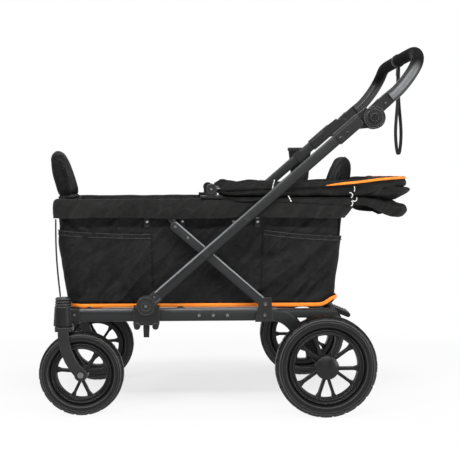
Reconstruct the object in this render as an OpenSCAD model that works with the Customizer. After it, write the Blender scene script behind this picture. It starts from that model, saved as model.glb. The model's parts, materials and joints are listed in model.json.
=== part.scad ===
// Folding stroller wagon: a soft tub on a scissor frame, with four wheels,
// a hinged push handle, two seats and a fan canopy folded to the rear.
// Millimetres, +Z up, front towards -X, origin on the ground under the middle.

/* [Wheels] */
// Rear wheel diameter
rear_wheel_d = 300; // [280:2:306]
// Rear tyre width
rear_tyre_w = 50; // [42:1:54]
// Rear tyre section height
rear_tyre_h = 38; // [30:1:42]
// Front wheel diameter
front_wheel_d = 250; // [226:2:256]
// Front tyre width
front_tyre_w = 45; // [38:1:48]
// Front tyre section height
front_tyre_h = 34; // [26:1:38]
// Distance between the front and rear axles
wheelbase = 720; // [690:5:750]
// Distance from the swivel axis back to the front axle
caster_trail = 53; // [40:1:60]
// Rear axle diameter
rear_axle_d = 12; // [10:1:14]
// Front axle diameter
front_axle_d = 10; // [8:1:12]
// Hub cap diameter
hub_cap_d = 70; // [60:1:80]
// Gap between a side rail and the rear tyre
wheel_gap = 21; // [16:1:30]

/* [Chassis] */
// Position of the rear axle along the wagon
rear_axle_x = 282; // [270:2:300]
// Height of a side rail section
rail_h = 39; // [32:1:42]
// Width of a side rail section
rail_w = 22; // [18:1:26]
// Height of the rail centre line above the ground
rail_z = 298; // [294:1:306]
// Distance between the centre lines of the two rails
rail_span = 486; // [470:2:500]
// Bend radius of the rear leg
leg_bend_r = 91; // [80:1:100]
// Length of the rail tail behind the leg bend
tail_len = 178; // [160:2:190]
// Diameter of the cross tubes under the floor
cross_d = 25; // [20:1:28]

/* [Scissor frame] */
// Position of the brace foot pivot along the wagon
brace_x = 105; // [95:1:115]
// Height of the lower pivots above the rail
pivot_rise = 12.5; // [12:0.5:15]
// Angle of the arms above the rail
arm_angle = 41; // [39:0.5:43]
// Distance from a lower pivot to the cross pivot
arm_half = 232; // [226:1:238]
// Distance from the cross pivot up to the rim pivot on the push arm
push_reach = 158; // [154:1:164]
// Distance from the cross pivot up to the link pivot on the brace
brace_reach = 118.5; // [112:0.5:122]
// Length of the short link under the rim
link_len = 48.5; // [44:0.5:52]
// Angle of the short link above the rail
link_angle = 117.5; // [112:0.5:122]
// Width of a push arm
push_w = 31; // [28:1:34]
// Thickness of a push arm
push_t = 18; // [16:1:20]
// Width of a brace
brace_w = 28; // [24:1:30]
// Thickness of a brace
brace_t = 14; // [12:1:15]
// Diameter of the frame pivots
pivot_d = 10; // [8:1:11]

/* [Handle] */
// Distance from the slider pivot up to the handle hinge
handle_along = 860; // [830:5:880]
// Drop of the hinge below the arm axis
hinge_drop = 23; // [20:1:26]
// Diameter of the hinge disc
hinge_d = 65; // [60:1:70]
// Length of the sleeve at the top of a push arm
sleeve_len = 88; // [80:1:96]
// Gap along the arm from the sleeve to the hinge's middle
sleeve_gap = 34; // [32:1:38]
// Diameter of the push button
button_d = 32; // [26:1:36]
// Diameter of the padded grip
grip_d = 32; // [28:1:34]
// Length of the hanging wrist strap
strap_len = 302; // [240:2:310]

/* [Rim and tub] */
// Length of the rim
rim_len = 890; // [870:5:910]
// Height of the rim band
rim_h = 59; // [54:1:64]
// Centre of the rim along the wagon
tub_x = -76; // [-82:1:-70]
// Corner radius of the rim seen from above
rim_corner_r = 62; // [50:1:75]
// Thickness of the rim from outside to inside
rim_t = 37; // [36:1:40]
// Diameter of the rim tubes
rim_tube_d = 16; // [14:1:17]
// Thickness of the tub and rim fabric
cloth_t = 4; // [3:0.5:4.5]
// Thickness of the floor board
board_t = 10; // [8:1:14]
// Thickness of the foot mat between the seats
foot_mat_t = 1.6; // [1:0.2:3]

/* [Seats] */
// Width of the seats and seat backs
seat_w = 400; // [360:5:420]
// Depth of a seat cushion
seat_d = 270; // [240:5:290]
// Thickness of a seat cushion
seat_t = 70; // [50:1:80]
// Thickness of a padded back
back_t = 38; // [30:1:40]
// Width of a headrest
head_w = 280; // [240:5:320]
// Height of a headrest
head_h = 132; // [115:1:150]
// Outward lean of a headrest
head_lean = 15; // [10:1:18]

/* [Canopy] */
// Canopy pivot along the wagon
canopy_x = -54; // [-60:1:-46]
// Height of the canopy pivot above the rim
canopy_rise = 27; // [25:1:30]
// Length of the longest canopy bow
bow_len = 562; // [540:2:566]
// Diameter of a canopy bow
bow_d = 8; // [6:0.5:8]
// Step in width and length from one bow to the next
bow_step = 12; // [12:0.5:13]
// Corner radius of the longest bow
bow_corner_r = 70; // [60:1:80]
// Angle between two folded bows
bow_fan = 1.5; // [1:0.1:2]

/* [Brake and cup] */
// Length of the brake pedal
pedal_len = 68; // [55:1:75]
// Width of the brake pedal
pedal_w = 92; // [70:2:110]
// Width of the cup holder at its mouth
cup_w = 84; // [76:1:90]
// Depth of the cup holder at its mouth
cup_depth = 46; // [42:1:50]
// Height of the cup holder
cup_h = 118; // [100:2:126]

/* [Hidden] */
$fn = 64;
// Clearances: running fit on a pin, loose fit between neighbours, seated fit
run = 0.1;
head_gap = 0.05;
loose = 0.4;
seat = 0.1;
plane_gap = 2;

// Planes across the wagon, measured from its middle
rail_y = rail_span / 2;
rail_in = rail_y - rail_w / 2;
rail_out = rail_y + rail_w / 2;
brace_in = rail_out + plane_gap;
brace_out = brace_in + brace_t;
rim_out = brace_out + 7;
push_in = rim_out + plane_gap;
push_out = push_in + push_t;
push_y = (push_in + push_out) / 2;
rear_wheel_y = rail_out + wheel_gap + rear_tyre_w / 2;

// Pivots in the side view, as [x, z]
ca = cos(arm_angle);
sa = sin(arm_angle);
rail_top = rail_z + rail_h / 2;
rail_bottom = rail_z - rail_h / 2;
pivot_z = rail_top + pivot_rise;
foot_p = [brace_x, pivot_z];
cross_p = foot_p + arm_half * [-ca, sa];
slider_p = foot_p - [2 * arm_half * ca, 0];
rim_p = cross_p + push_reach * [ca, sa];
link_p = cross_p + brace_reach * [-ca, sa];
link_top_p = link_p + link_len * [cos(link_angle), sin(link_angle)];
handle_p = slider_p + handle_along * [ca, sa] + hinge_drop * [sa, -ca];
rear_axle_p = [rear_axle_x, rear_wheel_d / 2];
front_axle_p = [rear_axle_x - wheelbase, front_wheel_d / 2];
swivel_x = front_axle_p[0] - caster_trail;

// Caster
crown_z = front_wheel_d + 2;
crown_t = 13;
housing_z = crown_z + crown_t + 2;
housing_top = rail_z + 26;
collar_h = 26;
stem_d = 14;
bearing_d = 26;
bearing_t = 8;
fork_in = front_tyre_w / 2 + 3;
fork_out = fork_in + 7.5;
socket_wall = 4;
socket_len = 22;
rail_front_x = swivel_x + 27;

// Rear leg: horizontal rail, one bend, then straight to the axle
leg_bend_x = 120;
leg_bend_p = [leg_bend_x, rail_z - leg_bend_r];
leg_gap = rear_axle_p - leg_bend_p;
leg_far = norm(leg_gap);
leg_turn = asin(leg_bend_r / leg_far) - atan2(leg_gap[1], leg_gap[0]);
leg_angle = 90 - leg_turn;
leg_len = sqrt(leg_far * leg_far - leg_bend_r * leg_bend_r);
leg_eye_d = 46;
tail_h = 28;
tail_w = 18;
tail_end = leg_bend_x + tail_len;

// Slider lever
lever_in = brace_in + 3;
lever_out = brace_out - 1;
lever_p = [slider_p[0], rail_bottom - 4.5];
lever_pin_d = 5;

// Push arm tube, measured up the arm from the slider pivot
arm_tube_start = 18;
arm_tube_end = handle_along - 42;

// Rim and tub
rim_z = rim_p[1] - 2;
rim_top = rim_z + rim_h;
rim_roof = 7;
rim_tube_in = cloth_t + loose + rim_tube_d / 2;
rim_tube_z = rim_top - rim_roof - loose - rim_tube_d / 2;
rim_tube_y = rim_out - rim_tube_in;
rim_inner_drop = 33;
link_out = rim_tube_y - rim_tube_d / 2 - 1;
link_in = link_out - 4.5;
tub_floor_z = rail_top + 4;
tub_top = rim_top - rim_inner_drop - loose;
tub_corner_r = 45;
board_z = tub_floor_z + cloth_t + loose;
seat_z = board_z + board_t + loose;

// Canopy
canopy_p = [canopy_x, rim_top + canopy_rise];
bow_y = rim_out - 11;
eye_d = 20;
eye_t = 9.5;
canopy_pin_d = 8;
bow_count = 3;

// Brake
crossbar_d = 28;
crossbar_p = [tail_end + 10, rail_z + 2];
brake_p = crossbar_p + [25, -14];
brake_rod_d = 9;
pedal_tilt = 22;
pedal_t = 15;

// Grip: the neck's end seen from the hinge, then the control points of its curve
neck_end = [73, 15];
neck_dip = 4;
neck_half = 18;
neck_lean = neck_half * tan(neck_dip);
grip_start = slider_p + (handle_along + neck_end[0]) * [ca, sa] + (hinge_drop - neck_end[1]) * [sa, -ca];
grip_lead = [cos(arm_angle - neck_dip), sin(arm_angle - neck_dip)];
grip_half = [
  for (d = [-28, 0, 28]) [grip_start[0] + d * grip_lead[0], -push_y, grip_start[1] + d * grip_lead[1]],
  [grip_start[0] + 52, -push_y, grip_start[1] + 52],
  [grip_start[0] + 78, -push_y, grip_start[1] + 92],
  [grip_start[0] + 88, -push_y + 18, grip_start[1] + 120],
  [grip_start[0] + 88, -push_y + 58, grip_start[1] + 138],
  [grip_start[0] + 88, -push_y + 120, grip_start[1] + 140]
];
bar_p = [grip_start[0] + 88, grip_start[1] + 140];
grip_mid = [for (y = [-110, -55, 0, 55, 110]) [bar_p[0], y, bar_p[1]]];
grip_controls = concat(
  grip_half, grip_mid,
  [for (i = [len(grip_half) - 1 : -1 : 0]) [grip_half[i][0], -grip_half[i][1], grip_half[i][2]]]
);

// Helpers

// The children on the right side (+Y) and mirrored to the left side (-Y)
module both_sides() {
  children();
  mirror([0, 1, 0]) children();
}

// The children, modelled for +Y, on one side: 1 is right, -1 is left
module on_side(side) {
  if (side > 0) children();
  else mirror([0, 1, 0]) children();
}

// A side-view outline (x, z) made solid from y0 to y1
module slab(y0, y1) {
  translate([0, y1, 0]) rotate([90, 0, 0]) linear_extrude(y1 - y0) children();
}

// A round pin or bore along Y at a side-view point
module pin_y(at, y0, y1, d) {
  translate([at[0], y0, at[1]]) rotate([-90, 0, 0]) cylinder(d = d, h = y1 - y0);
}

// A solid of revolution about an axle along Y, outer face towards +Y
module turned(at, y) {
  translate([at[0], y, at[1]]) rotate([-90, 0, 0]) children();
}

// Flat outline of a bar with round ends, its sides a hair inside the end circles
module bar_2d(p, q, w) {
  along = q - p;
  side = w - 0.06;
  translate(p) circle(d = w);
  translate(q) circle(d = w);
  translate(p) rotate(atan2(along[1], along[0])) translate([0, -side / 2]) square([norm(along), side]);
}

// Flat outline of a spoke that widens where it meets the ring
module spoke_2d(p, q, w) {
  along = q - p;
  len = norm(along);
  bar_2d(p, q, w);
  translate(p) rotate(atan2(along[1], along[0]))
    polygon([[len - 17, -w / 2 + 0.4], [len - 1, -w], [len - 1, w], [len - 17, w / 2 - 0.4]]);
}

// Rectangle with round corners
module rrect(w, h, r) {
  square([w - 2 * r, h], center = true);
  square([w, h - 2 * r], center = true);
  for (x = [-1, 1], y = [-1, 1]) translate([x * (w / 2 - r), y * (h / 2 - r)]) circle(r);
}

// Rounded tube along +X, w across and h high
module tube_x(len, w, h, r) {
  rotate([90, 0, 90]) linear_extrude(len) rrect(w, h, r);
}

// The frame of a push arm: X runs up the arm from the slider pivot
module along_arm(d = 0, drop = 0) {
  translate([slider_p[0], 0, slider_p[1]]) rotate([0, -arm_angle, 0]) translate([d, 0, -drop]) children();
}

// Closed skin through a list of rings, each turning about the way forward
module loft(rings) {
  n = len(rings);
  m = len(rings[0]);
  sides = [
    for (i = [0 : n - 2], j = [0 : m - 1])
      let (k = (j + 1) % m)
        each [[i * m + j, (i + 1) * m + k, i * m + k], [i * m + j, (i + 1) * m + j, (i + 1) * m + k]]
  ];
  start = [for (j = [0 : m - 1]) j];
  end = [for (j = [m - 1 : -1 : 0]) (n - 1) * m + j];
  polyhedron([for (ring = rings) each ring], concat(sides, [start, end]), convexity = 6);
}

function signed_pow(x, p) = sign(x) * pow(abs(x), p);

// Rings of a crowned pad: w across (Y), h tall (Z), t thick (X), sides drawn in
// between the corners; base is the share of the lower half that is kept
function pad_rings(w, h, t, base = 1) = [
  for (i = [-6 : 6])
    let (
      s = sin(i * 15),
      crown = 0.45 + 0.55 * pow(1 - pow(abs(s), 5), 0.5),
      tall = (0.86 + 0.14 * pow(1 - pow(abs(s), 8), 0.5)) * (1 - 0.025 * (1 - s * s))
    ) [
      for (j = [0 : 19])
        let (
          up = signed_pow(cos(j * 18), 0.55),
          out = signed_pow(sin(j * 18), 0.7)
        ) [
          out * crown * t / 2,
          s * w / 2 * (1 - 0.02 * (1 - up * up)),
          up * tall * h / 2 * (up < 0 ? base : 1)
        ]
    ]
];

module pad(w, h, t) {
  loft(pad_rings(w, h, t));
}

// Chassis

// One side frame: rail, rear leg with the axle eye, and the tail to the crossbar
module rail() {
  color("dimgray") difference() {
    union() {
      translate([rail_front_x, rail_y, rail_z])
        tube_x(leg_bend_x - rail_front_x, rail_w, rail_h, rail_w / 4);
      translate([leg_bend_x, rail_y, rail_z - leg_bend_r]) rotate([90, 0, 0])
        rotate(leg_angle) rotate_extrude(angle = leg_turn)
          translate([leg_bend_r, 0]) rrect(rail_h, rail_w, rail_w / 4);
      translate([leg_bend_x, rail_y, rail_z - leg_bend_r]) rotate([0, leg_turn, 0])
        translate([0, 0, leg_bend_r]) tube_x(leg_len, rail_w, rail_h, rail_w / 4);
      translate([leg_bend_x, rail_y, rail_z + 2])
        tube_x(tail_len, tail_w, tail_h, tail_w / 4);
      pin_y(rear_axle_p, rail_in, rail_out, leg_eye_d);
    }
    pin_y(rear_axle_p, rail_in - 1, rail_out + 1, rear_axle_d + 2 * seat);
  }
}

module left_rail() { on_side(-1) rail(); }
module right_rail() { on_side(1) rail(); }

// Cross tubes that carry the floor, and the rear crossbar with the pedal lugs
module cross_members() {
  cross_z = tub_floor_z - loose - cross_d / 2;
  crossbar_len = 2 * (rail_y + tail_w / 2);
  color("dimgray") {
    for (x = [swivel_x + 75, cross_p[0] - 75, brace_x])
      pin_y([x, cross_z], -rail_in, rail_in, cross_d);
    difference() {
      union() {
        pin_y(crossbar_p, -crossbar_len / 2, crossbar_len / 2, crossbar_d);
        both_sides() slab(pedal_w / 2 + loose, pedal_w / 2 + 8) bar_2d(crossbar_p, brake_p, 22);
      }
      both_sides() pin_y(brake_p, pedal_w / 2, pedal_w / 2 + 9, brake_rod_d + run);
      both_sides() translate([leg_bend_x, rail_y, rail_z + 2])
        tube_x(tail_len + seat, tail_w + 2 * seat, tail_h + 2 * seat, tail_w / 4);
    }
  }
}

// Swivel housings: a flared skirt, a ribbed collar and the socket for the rail
module caster_housings() {
  skirt_h = housing_top - housing_z;
  color("#1c1c1e") both_sides() translate([swivel_x, rail_y, 0]) difference() {
    union() {
      translate([0, 0, housing_z]) cylinder(d1 = 58, d2 = 50, h = skirt_h);
      translate([0, 0, housing_top]) cylinder(d1 = 46, d2 = 42, h = collar_h);
      for (k = [0 : 2]) translate([0, 0, housing_top + 4 + 8 * k]) cylinder(d = 48 - k, h = 3);
      translate([10, 0, rail_z])
        tube_x(rail_front_x - swivel_x - 10 + socket_len, rail_w + 2 * socket_wall,
               rail_h + 2 * socket_wall, rail_w / 4 + socket_wall);
    }
    translate([0, 0, housing_z - 1]) cylinder(d = bearing_d, h = skirt_h + 4);
    translate([rail_front_x - swivel_x, 0, rail_z])
      tube_x(socket_len + 1, rail_w + 2 * seat, rail_h + 2 * seat, rail_w / 4 + seat);
  }
}

// Two bearing rings in each swivel housing
module caster_bearings() {
  color("silver") both_sides() for (z = [housing_z + 1, housing_top - bearing_t])
    translate([swivel_x, rail_y, z]) difference() {
      cylinder(d = bearing_d - seat, h = bearing_t);
      translate([0, 0, -1]) cylinder(d = stem_d + run, h = bearing_t + 2);
    }
}

// Foot bracket of a brace: an outer plate, a spacer to the rail and the pivot pin
module brace_brackets() {
  plate_in = brace_out + 1;
  plate_out = plate_in + 4;
  spacer_top = pivot_z - brace_w / 2 - loose;
  color("#232325") both_sides() {
    slab(plate_in, plate_out)
      polygon([[brace_x - 30, rail_bottom], [brace_x + 24, rail_bottom],
               [brace_x + 17, pivot_z + 20], [brace_x - 17, pivot_z + 20]]);
    slab(rail_out, plate_in)
      translate([brace_x - 22, rail_bottom + 3]) square([42, spacer_top - rail_bottom - 3]);
    pin_y(foot_p, brace_in - 1, plate_in, pivot_d);
    pin_y(foot_p, plate_out, plate_out + 2.5, pivot_d + 5);
    pin_y([brace_x - 2, rail_z], plate_out, plate_out + 2.5, pivot_d + 3);
  }
}

module rear_axle() {
  axle_end = rear_wheel_y + 20;
  color("silver") pin_y(rear_axle_p, -axle_end, axle_end, rear_axle_d);
}

// Button heads along the outer face of each rail
module frame_screws() {
  color("#3a3a3c") both_sides() for (k = [0 : 2])
    pin_y([cross_p[0] - 20 + 42 * k, rail_z - 2], rail_out, rail_out + 1.6, 9);
}

// Brake: a wide pedal and the rod that it turns
module brake_pedal() {
  color("#161617") difference() {
    translate([brake_p[0], 0, brake_p[1]]) rotate([0, pedal_tilt, 0]) union() {
      rotate([90, 0, 0]) linear_extrude(pedal_w, center = true)
        bar_2d([0, 0], [pedal_len - pedal_t / 2, 0], pedal_t);
      for (k = [0 : 4]) translate([24 + 9 * k, 0, pedal_t / 2])
        rotate([90, 0, 0]) cylinder(d = 4, h = pedal_w - 16, center = true);
    }
    pin_y(brake_p, -pedal_w, pedal_w, brake_rod_d + 2 * seat);
  }
}

module brake_bar() {
  rod_end = pedal_w / 2 + 10;
  color("silver") pin_y(brake_p, -rod_end, rod_end, brake_rod_d);
}

// Tub and seats

// Rounded rectangle in plan, centred on the tub
module plan_rect(x0, x1, half_w, r) {
  translate([(x0 + x1) / 2, 0]) rrect(x1 - x0, 2 * half_w, r);
}

// Outer shape of the tub, shrunk by an inset, from a floor height up
module tub_block(inset, floor_z) {
  rise = tub_top - tub_floor_z;
  top_x = rim_len / 2 - 23;
  floor_x = top_x - 24;
  top_y = link_in - 3;
  floor_y = rail_in - 8;
  share = (floor_z - tub_floor_z) / rise;
  low_x = floor_x + (top_x - floor_x) * share - inset;
  low_y = floor_y + (top_y - floor_y) * share - inset;
  hull() {
    translate([0, 0, floor_z]) linear_extrude(0.1, $fn = 32)
      plan_rect(tub_x - low_x, tub_x + low_x, low_y, tub_corner_r);
    translate([0, 0, tub_top - 0.1 + (inset > 0 ? 1 : 0)]) linear_extrude(0.1, $fn = 32)
      plan_rect(tub_x - top_x + inset, tub_x + top_x - inset, top_y - inset, tub_corner_r);
  }
}

module tub() {
  color("#2b2b2c") difference() {
    tub_block(0, tub_floor_z);
    tub_block(cloth_t, tub_floor_z + cloth_t);
  }
}

module floor_board() {
  half_x = rim_len / 2 - 60;
  foot_half = half_x - seat_d - 15;
  color("#3b352e") translate([0, 0, board_z]) {
    linear_extrude(board_t) plan_rect(tub_x - half_x, tub_x + half_x, rail_in - 20, tub_corner_r - 10);
    linear_extrude(board_t + foot_mat_t) plan_rect(tub_x - foot_half, tub_x + foot_half, rail_in - 36, 20);
  }
}

// Seat cushion, flat underneath; side -1 is the front seat and 1 the rear one
module seat_cushion(side) {
  from_mid = rim_len / 2 - 66 - seat_d / 2;
  color("#303031") translate([tub_x + side * from_mid, 0, seat_z]) difference() {
    translate([0, 0, seat_t / 2]) loft(pad_rings(seat_w, seat_t, seat_d, 1.2));
    translate([-seat_d, -seat_w, -seat_t]) cube([2 * seat_d, 2 * seat_w, seat_t]);
  }
}

module front_seat() { seat_cushion(-1); }
module rear_seat() { seat_cushion(1); }

// Padded back inside an end wall, leaning with the wall
module seat_back(side) {
  foot_z = seat_z + seat_t + 3;
  tall = tub_top - foot_z;
  color("#303031") translate([tub_x + side * (rim_len / 2 - 55), 0, foot_z + tall / 2])
    rotate([0, side * 4, 0]) pad(seat_w, tall, back_t);
}

module front_seat_back() { seat_back(-1); }
module rear_seat_back() { seat_back(1); }

// Padded headrest on the rim end, hinged at the rod in its hem
module headrest(side) {
  hem_d = 10;
  hem_x = tub_x + side * (rim_len / 2 - 22);
  hem_z = rim_top + hem_d / 2 + loose;
  color("#303031") translate([hem_x, 0, hem_z]) {
    rotate([90, 0, 0]) cylinder(d = hem_d, h = head_w - 30, center = true);
    rotate([0, side * head_lean, 0]) translate([0, 0, head_h / 2 + 1]) pad(head_w, head_h, back_t + 4);
  }
}

module front_headrest() { headrest(-1); }
module rear_headrest() { headrest(1); }

// Webbing from the rim corners down to the swivel housings
module corner_straps() {
  strap_top = [swivel_x - 21, rim_z - loose];
  strap_foot = [swivel_x - 10, housing_top + collar_h + loose];
  color("#19191a") both_sides() slab(rail_y - 12, rail_y + 12)
    polygon([strap_top, strap_top + [4, 0], strap_foot + [6, 60], strap_foot + [12, 30],
             strap_foot + [4, 0], strap_foot, strap_foot + [2, 60]]);
}

// Casters and wheels

// Fork with its stem and two bent legs
module fork() {
  leg_w = 32;
  top = [swivel_x + 3, crown_z - 6];
  knee = [swivel_x + 5, front_axle_p[1] + 52];
  leg = [for (t = [0 : 0.2 : 1]) pow(1 - t, 2) * top + 2 * t * (1 - t) * knee + t * t * front_axle_p];
  color("#1d1d1f") difference() {
    union() {
      for (s = [-1, 1]) slab(rail_y + (s > 0 ? fork_in : -fork_out), rail_y + (s > 0 ? fork_out : -fork_in)) {
        for (k = [1 : len(leg) - 1]) bar_2d(leg[k - 1], leg[k], leg_w);
        translate(front_axle_p) circle(d = leg_w + 6);
      }
      translate([swivel_x + 3, rail_y, crown_z]) linear_extrude(crown_t) rrect(52, 2 * fork_out, 14);
      translate([swivel_x, rail_y, crown_z]) cylinder(d = stem_d, h = housing_top - crown_z);
    }
    pin_y(front_axle_p, rail_y - fork_out - 1, rail_y + fork_out + 1, front_axle_d + 2 * seat);
  }
}

module left_fork() { on_side(-1) fork(); }
module right_fork() { on_side(1) fork(); }

module front_axle() {
  color("silver") {
    pin_y(front_axle_p, rail_y - fork_out - 1, rail_y + fork_out + 1, front_axle_d);
    pin_y(front_axle_p, rail_y + fork_out, rail_y + fork_out + 5, front_axle_d + 8);
    pin_y(front_axle_p, rail_y - fork_out - 6, rail_y - fork_out, front_axle_d + 6);
  }
}

module left_front_axle() { on_side(-1) front_axle(); }
module right_front_axle() { on_side(1) front_axle(); }

// Air tyre: rounded section with two grooves round the tread and shoulder lugs
module tyre(d, w, h, lugs) {
  groove = 4;
  color("#141414") difference() {
    rotate_extrude() difference() {
      translate([d / 2 - h / 2, 0]) rrect(h, w, h * 0.38);
      for (s = [-1, 1]) translate([d / 2, s * w * 0.16]) square([2 * groove, groove], center = true);
    }
    for (k = [0 : lugs - 1], s = [-1, 1]) rotate((k + (s > 0 ? 0.5 : 0)) * 360 / lugs)
      translate([d / 2 - groove, -3, s > 0 ? w * 0.18 : -w / 2 - 1]) cube([2 * groove, 6, w * 0.32 + 1]);
  }
}

// Wheel centre: rim ring, hub and pairs of spokes that meet at the hub
module wheel_rim(r, w, bore, pairs, spread, hub_d, hub_in, hub_out, flange_d = 0) {
  ring_t = 18;
  spoke_w = 9;
  hub_r = hub_d / 2;
  color("#1b1b1c") difference() {
    union() {
      rotate_extrude() difference() {
        translate([r - ring_t / 2 - seat, 0]) rrect(ring_t, w * 0.72, 5);
        translate([r - ring_t / 2 - seat, w * 0.36]) circle(4);
      }
      translate([0, 0, -hub_in]) cylinder(d = hub_d, h = hub_in + hub_out);
      if (flange_d > hub_d) translate([0, 0, hub_out - 4]) cylinder(d = flange_d, h = 4);
      for (k = [0 : pairs - 1], s = [-1, 1])
        let (mid = 90 + k * 360 / pairs, tip = mid + s * spread)
          translate([0, 0, -w * 0.05]) linear_extrude(w * 0.3)
            spoke_2d((hub_r - 6) * [cos(mid), sin(mid)], (r - ring_t + 2) * [cos(tip), sin(tip)], spoke_w);
    }
    translate([0, 0, -hub_in - 1]) cylinder(d = bore, h = hub_in + hub_out + 2);
  }
}

module rear_tyre(side) {
  on_side(side) turned(rear_axle_p, rear_wheel_y) tyre(rear_wheel_d, rear_tyre_w, rear_tyre_h, 24);
}

module front_tyre(side) {
  on_side(side) turned(front_axle_p, rail_y) tyre(front_wheel_d, front_tyre_w, front_tyre_h, 20);
}

module rear_rim(side) {
  on_side(side) turned(rear_axle_p, rear_wheel_y)
    wheel_rim(rear_wheel_d / 2 - rear_tyre_h, rear_tyre_w, rear_axle_d + run, 5, 15, 46,
              rear_wheel_y - rail_out - 3, rear_tyre_w / 2 - 2, hub_cap_d);
}

module front_rim(side) {
  on_side(side) turned(front_axle_p, rail_y)
    wheel_rim(front_wheel_d / 2 - front_tyre_h, front_tyre_w, front_axle_d + run, 3, 21, 40,
              fork_in - 1, fork_in - 1);
}

module left_front_tyre() { front_tyre(-1); }
module right_front_tyre() { front_tyre(1); }
module left_front_rim() { front_rim(-1); }
module right_front_rim() { front_rim(1); }
module left_rear_tyre() { rear_tyre(-1); }
module right_rear_tyre() { rear_tyre(1); }
module left_rear_rim() { rear_rim(-1); }
module right_rear_rim() { rear_rim(1); }

// Domed cap over the axle end
module hub_cap(side) {
  dome_r = 75;
  dome_drop = sqrt(dome_r * dome_r - hub_cap_d * hub_cap_d / 4);
  wall = 3;
  color("#101010") on_side(side) turned(rear_axle_p, rear_wheel_y + rear_tyre_w / 2 - 2)
    rotate_extrude() intersection() {
      difference() {
        translate([0, wall - dome_drop]) circle(dome_r);
        translate([0, -dome_drop]) circle(dome_r - 1);
      }
      square([hub_cap_d / 2, 40]);
    }
}

module left_hub_cap() { hub_cap(-1); }
module right_hub_cap() { hub_cap(1); }

// Scissor frame

module brace_arms() {
  stud_d = 8;
  color("dimgray") both_sides() difference() {
    union() {
      slab(brace_in, brace_out) bar_2d(foot_p, link_p, brace_w);
      pin_y(link_p, link_in - loose, brace_in + 1, stud_d);
      pin_y(link_p, link_in - loose - 3, link_in - loose, stud_d + 6);
    }
    for (at = [foot_p, cross_p]) pin_y(at, brace_in - 1, brace_out + 1, pivot_d + run);
  }
}

module push_tube() {
  color("#4a4a4d") difference() {
    along_arm(arm_tube_start) translate([0, push_y, 0])
      tube_x(arm_tube_end - arm_tube_start, push_t, push_w, push_t / 3);
    for (at = [cross_p, rim_p]) pin_y(at, push_in - 1, push_out + 1, pivot_d + run);
  }
}

module left_push_tube() { on_side(-1) push_tube(); }
module right_push_tube() { on_side(1) push_tube(); }

// Round knuckle that closes the lower end of a push arm and turns on the slider
module knuckle_discs() {
  disc_d = 54;
  neck_len = 46;
  color("#1c1c1e") both_sides() difference() {
    union() {
      pin_y(slider_p, push_in - 0.8, push_out + 2, disc_d);
      along_arm(disc_d / 4) translate([0, push_y, 0])
        tube_x(neck_len - disc_d / 4, push_t + 1.2, push_w + 6, push_t / 3);
    }
    along_arm(arm_tube_start - seat) translate([0, push_y, 0])
      tube_x(neck_len, push_t + 2 * seat, push_w + 2 * seat, push_t / 3);
    pin_y(slider_p, push_in - 3, push_out + 3, pivot_d + 2 + run);
    pin_y(slider_p, push_out, push_out + 3, 24);
  }
}

// Clamps that slide on the rails, each with the stud of an arm and the lever slot
module sliders() {
  half = 38;
  boss_drop = 11;
  color("#18181a") both_sides() difference() {
    union() {
      slab(rail_in - 3, push_in - plane_gap) translate([slider_p[0] - half, rail_bottom - 8])
        square([2 * half, rail_h + 16]);
      slab(rail_out + 3, push_in - plane_gap) translate(slider_p) circle(d = 56);
      for (s = [-1, 1]) pin_y(slider_p + [s * 27, rail_bottom - pivot_z - boss_drop], rail_y, push_in, 19);
      pin_y(slider_p, rail_out + 5, push_out, pivot_d + 2);
      pin_y(slider_p, push_out + loose, push_out + 2, 22);
      pin_y(slider_p, push_out - 1, push_out + 1, pivot_d + 2);
    }
    slab(rail_in - loose, rail_out + loose) translate([slider_p[0] - half - 1, rail_bottom - loose])
      square([2 * half + 2, rail_h + 2 * loose]);
    slab(rail_in - 4, rail_in + 6) translate([slider_p[0] - half - 1, rail_z])
      square([2 * half + 2, rail_h]);
    slab(lever_in - loose, lever_out + loose) translate([slider_p[0] - 14, rail_bottom - 30])
      square([28, 30 - loose - 0.6]);
    pin_y(lever_p, lever_in - 5, lever_out + 5, lever_pin_d + run);
  }
}

// Thumb levers under the sliders, each on its own pin
module release_levers() {
  lever_len = 40;
  color("#101011") both_sides() {
    slab(lever_in, lever_out) {
      translate(lever_p) circle(d = 6);
      polygon([lever_p + [-3, 0], lever_p + [-9.5, -8], lever_p + [-8, -lever_len],
               lever_p + [8, -lever_len], lever_p + [9.5, -8], lever_p + [3, 0]]);
    }
    pin_y(lever_p, lever_in - 3, lever_out + 3, lever_pin_d);
  }
}

module cross_bolts() {
  color("#3a3a3c") both_sides() {
    pin_y(cross_p, brace_in - 1, push_out + 1, pivot_d);
    pin_y(cross_p, push_out + head_gap, push_out + 3, pivot_d + 9);
    pin_y(cross_p, brace_in - 5.5, brace_in - 1, pivot_d + 7);
  }
}

module top_links() {
  color("#232325") both_sides() difference() {
    slab(link_in, link_out) bar_2d(link_p, link_top_p, 18);
    pin_y(link_p, link_in - 1, link_out + 1, 8 + run);
    pin_y(link_top_p, link_in - 1, link_out + 1, 8 + run);
  }
}

// Rim

module plan_rim(inset) {
  half = rim_len / 2 - inset;
  plan_rect(tub_x - half, tub_x + half, rim_out - inset, rim_corner_r - inset);
}

module rim_side_tubes() {
  len = rim_len - 2 * rim_corner_r;
  color("gray") both_sides() translate([tub_x - len / 2, rim_tube_y, rim_tube_z])
    rotate([0, 90, 0]) cylinder(d = rim_tube_d, h = len);
}

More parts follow.
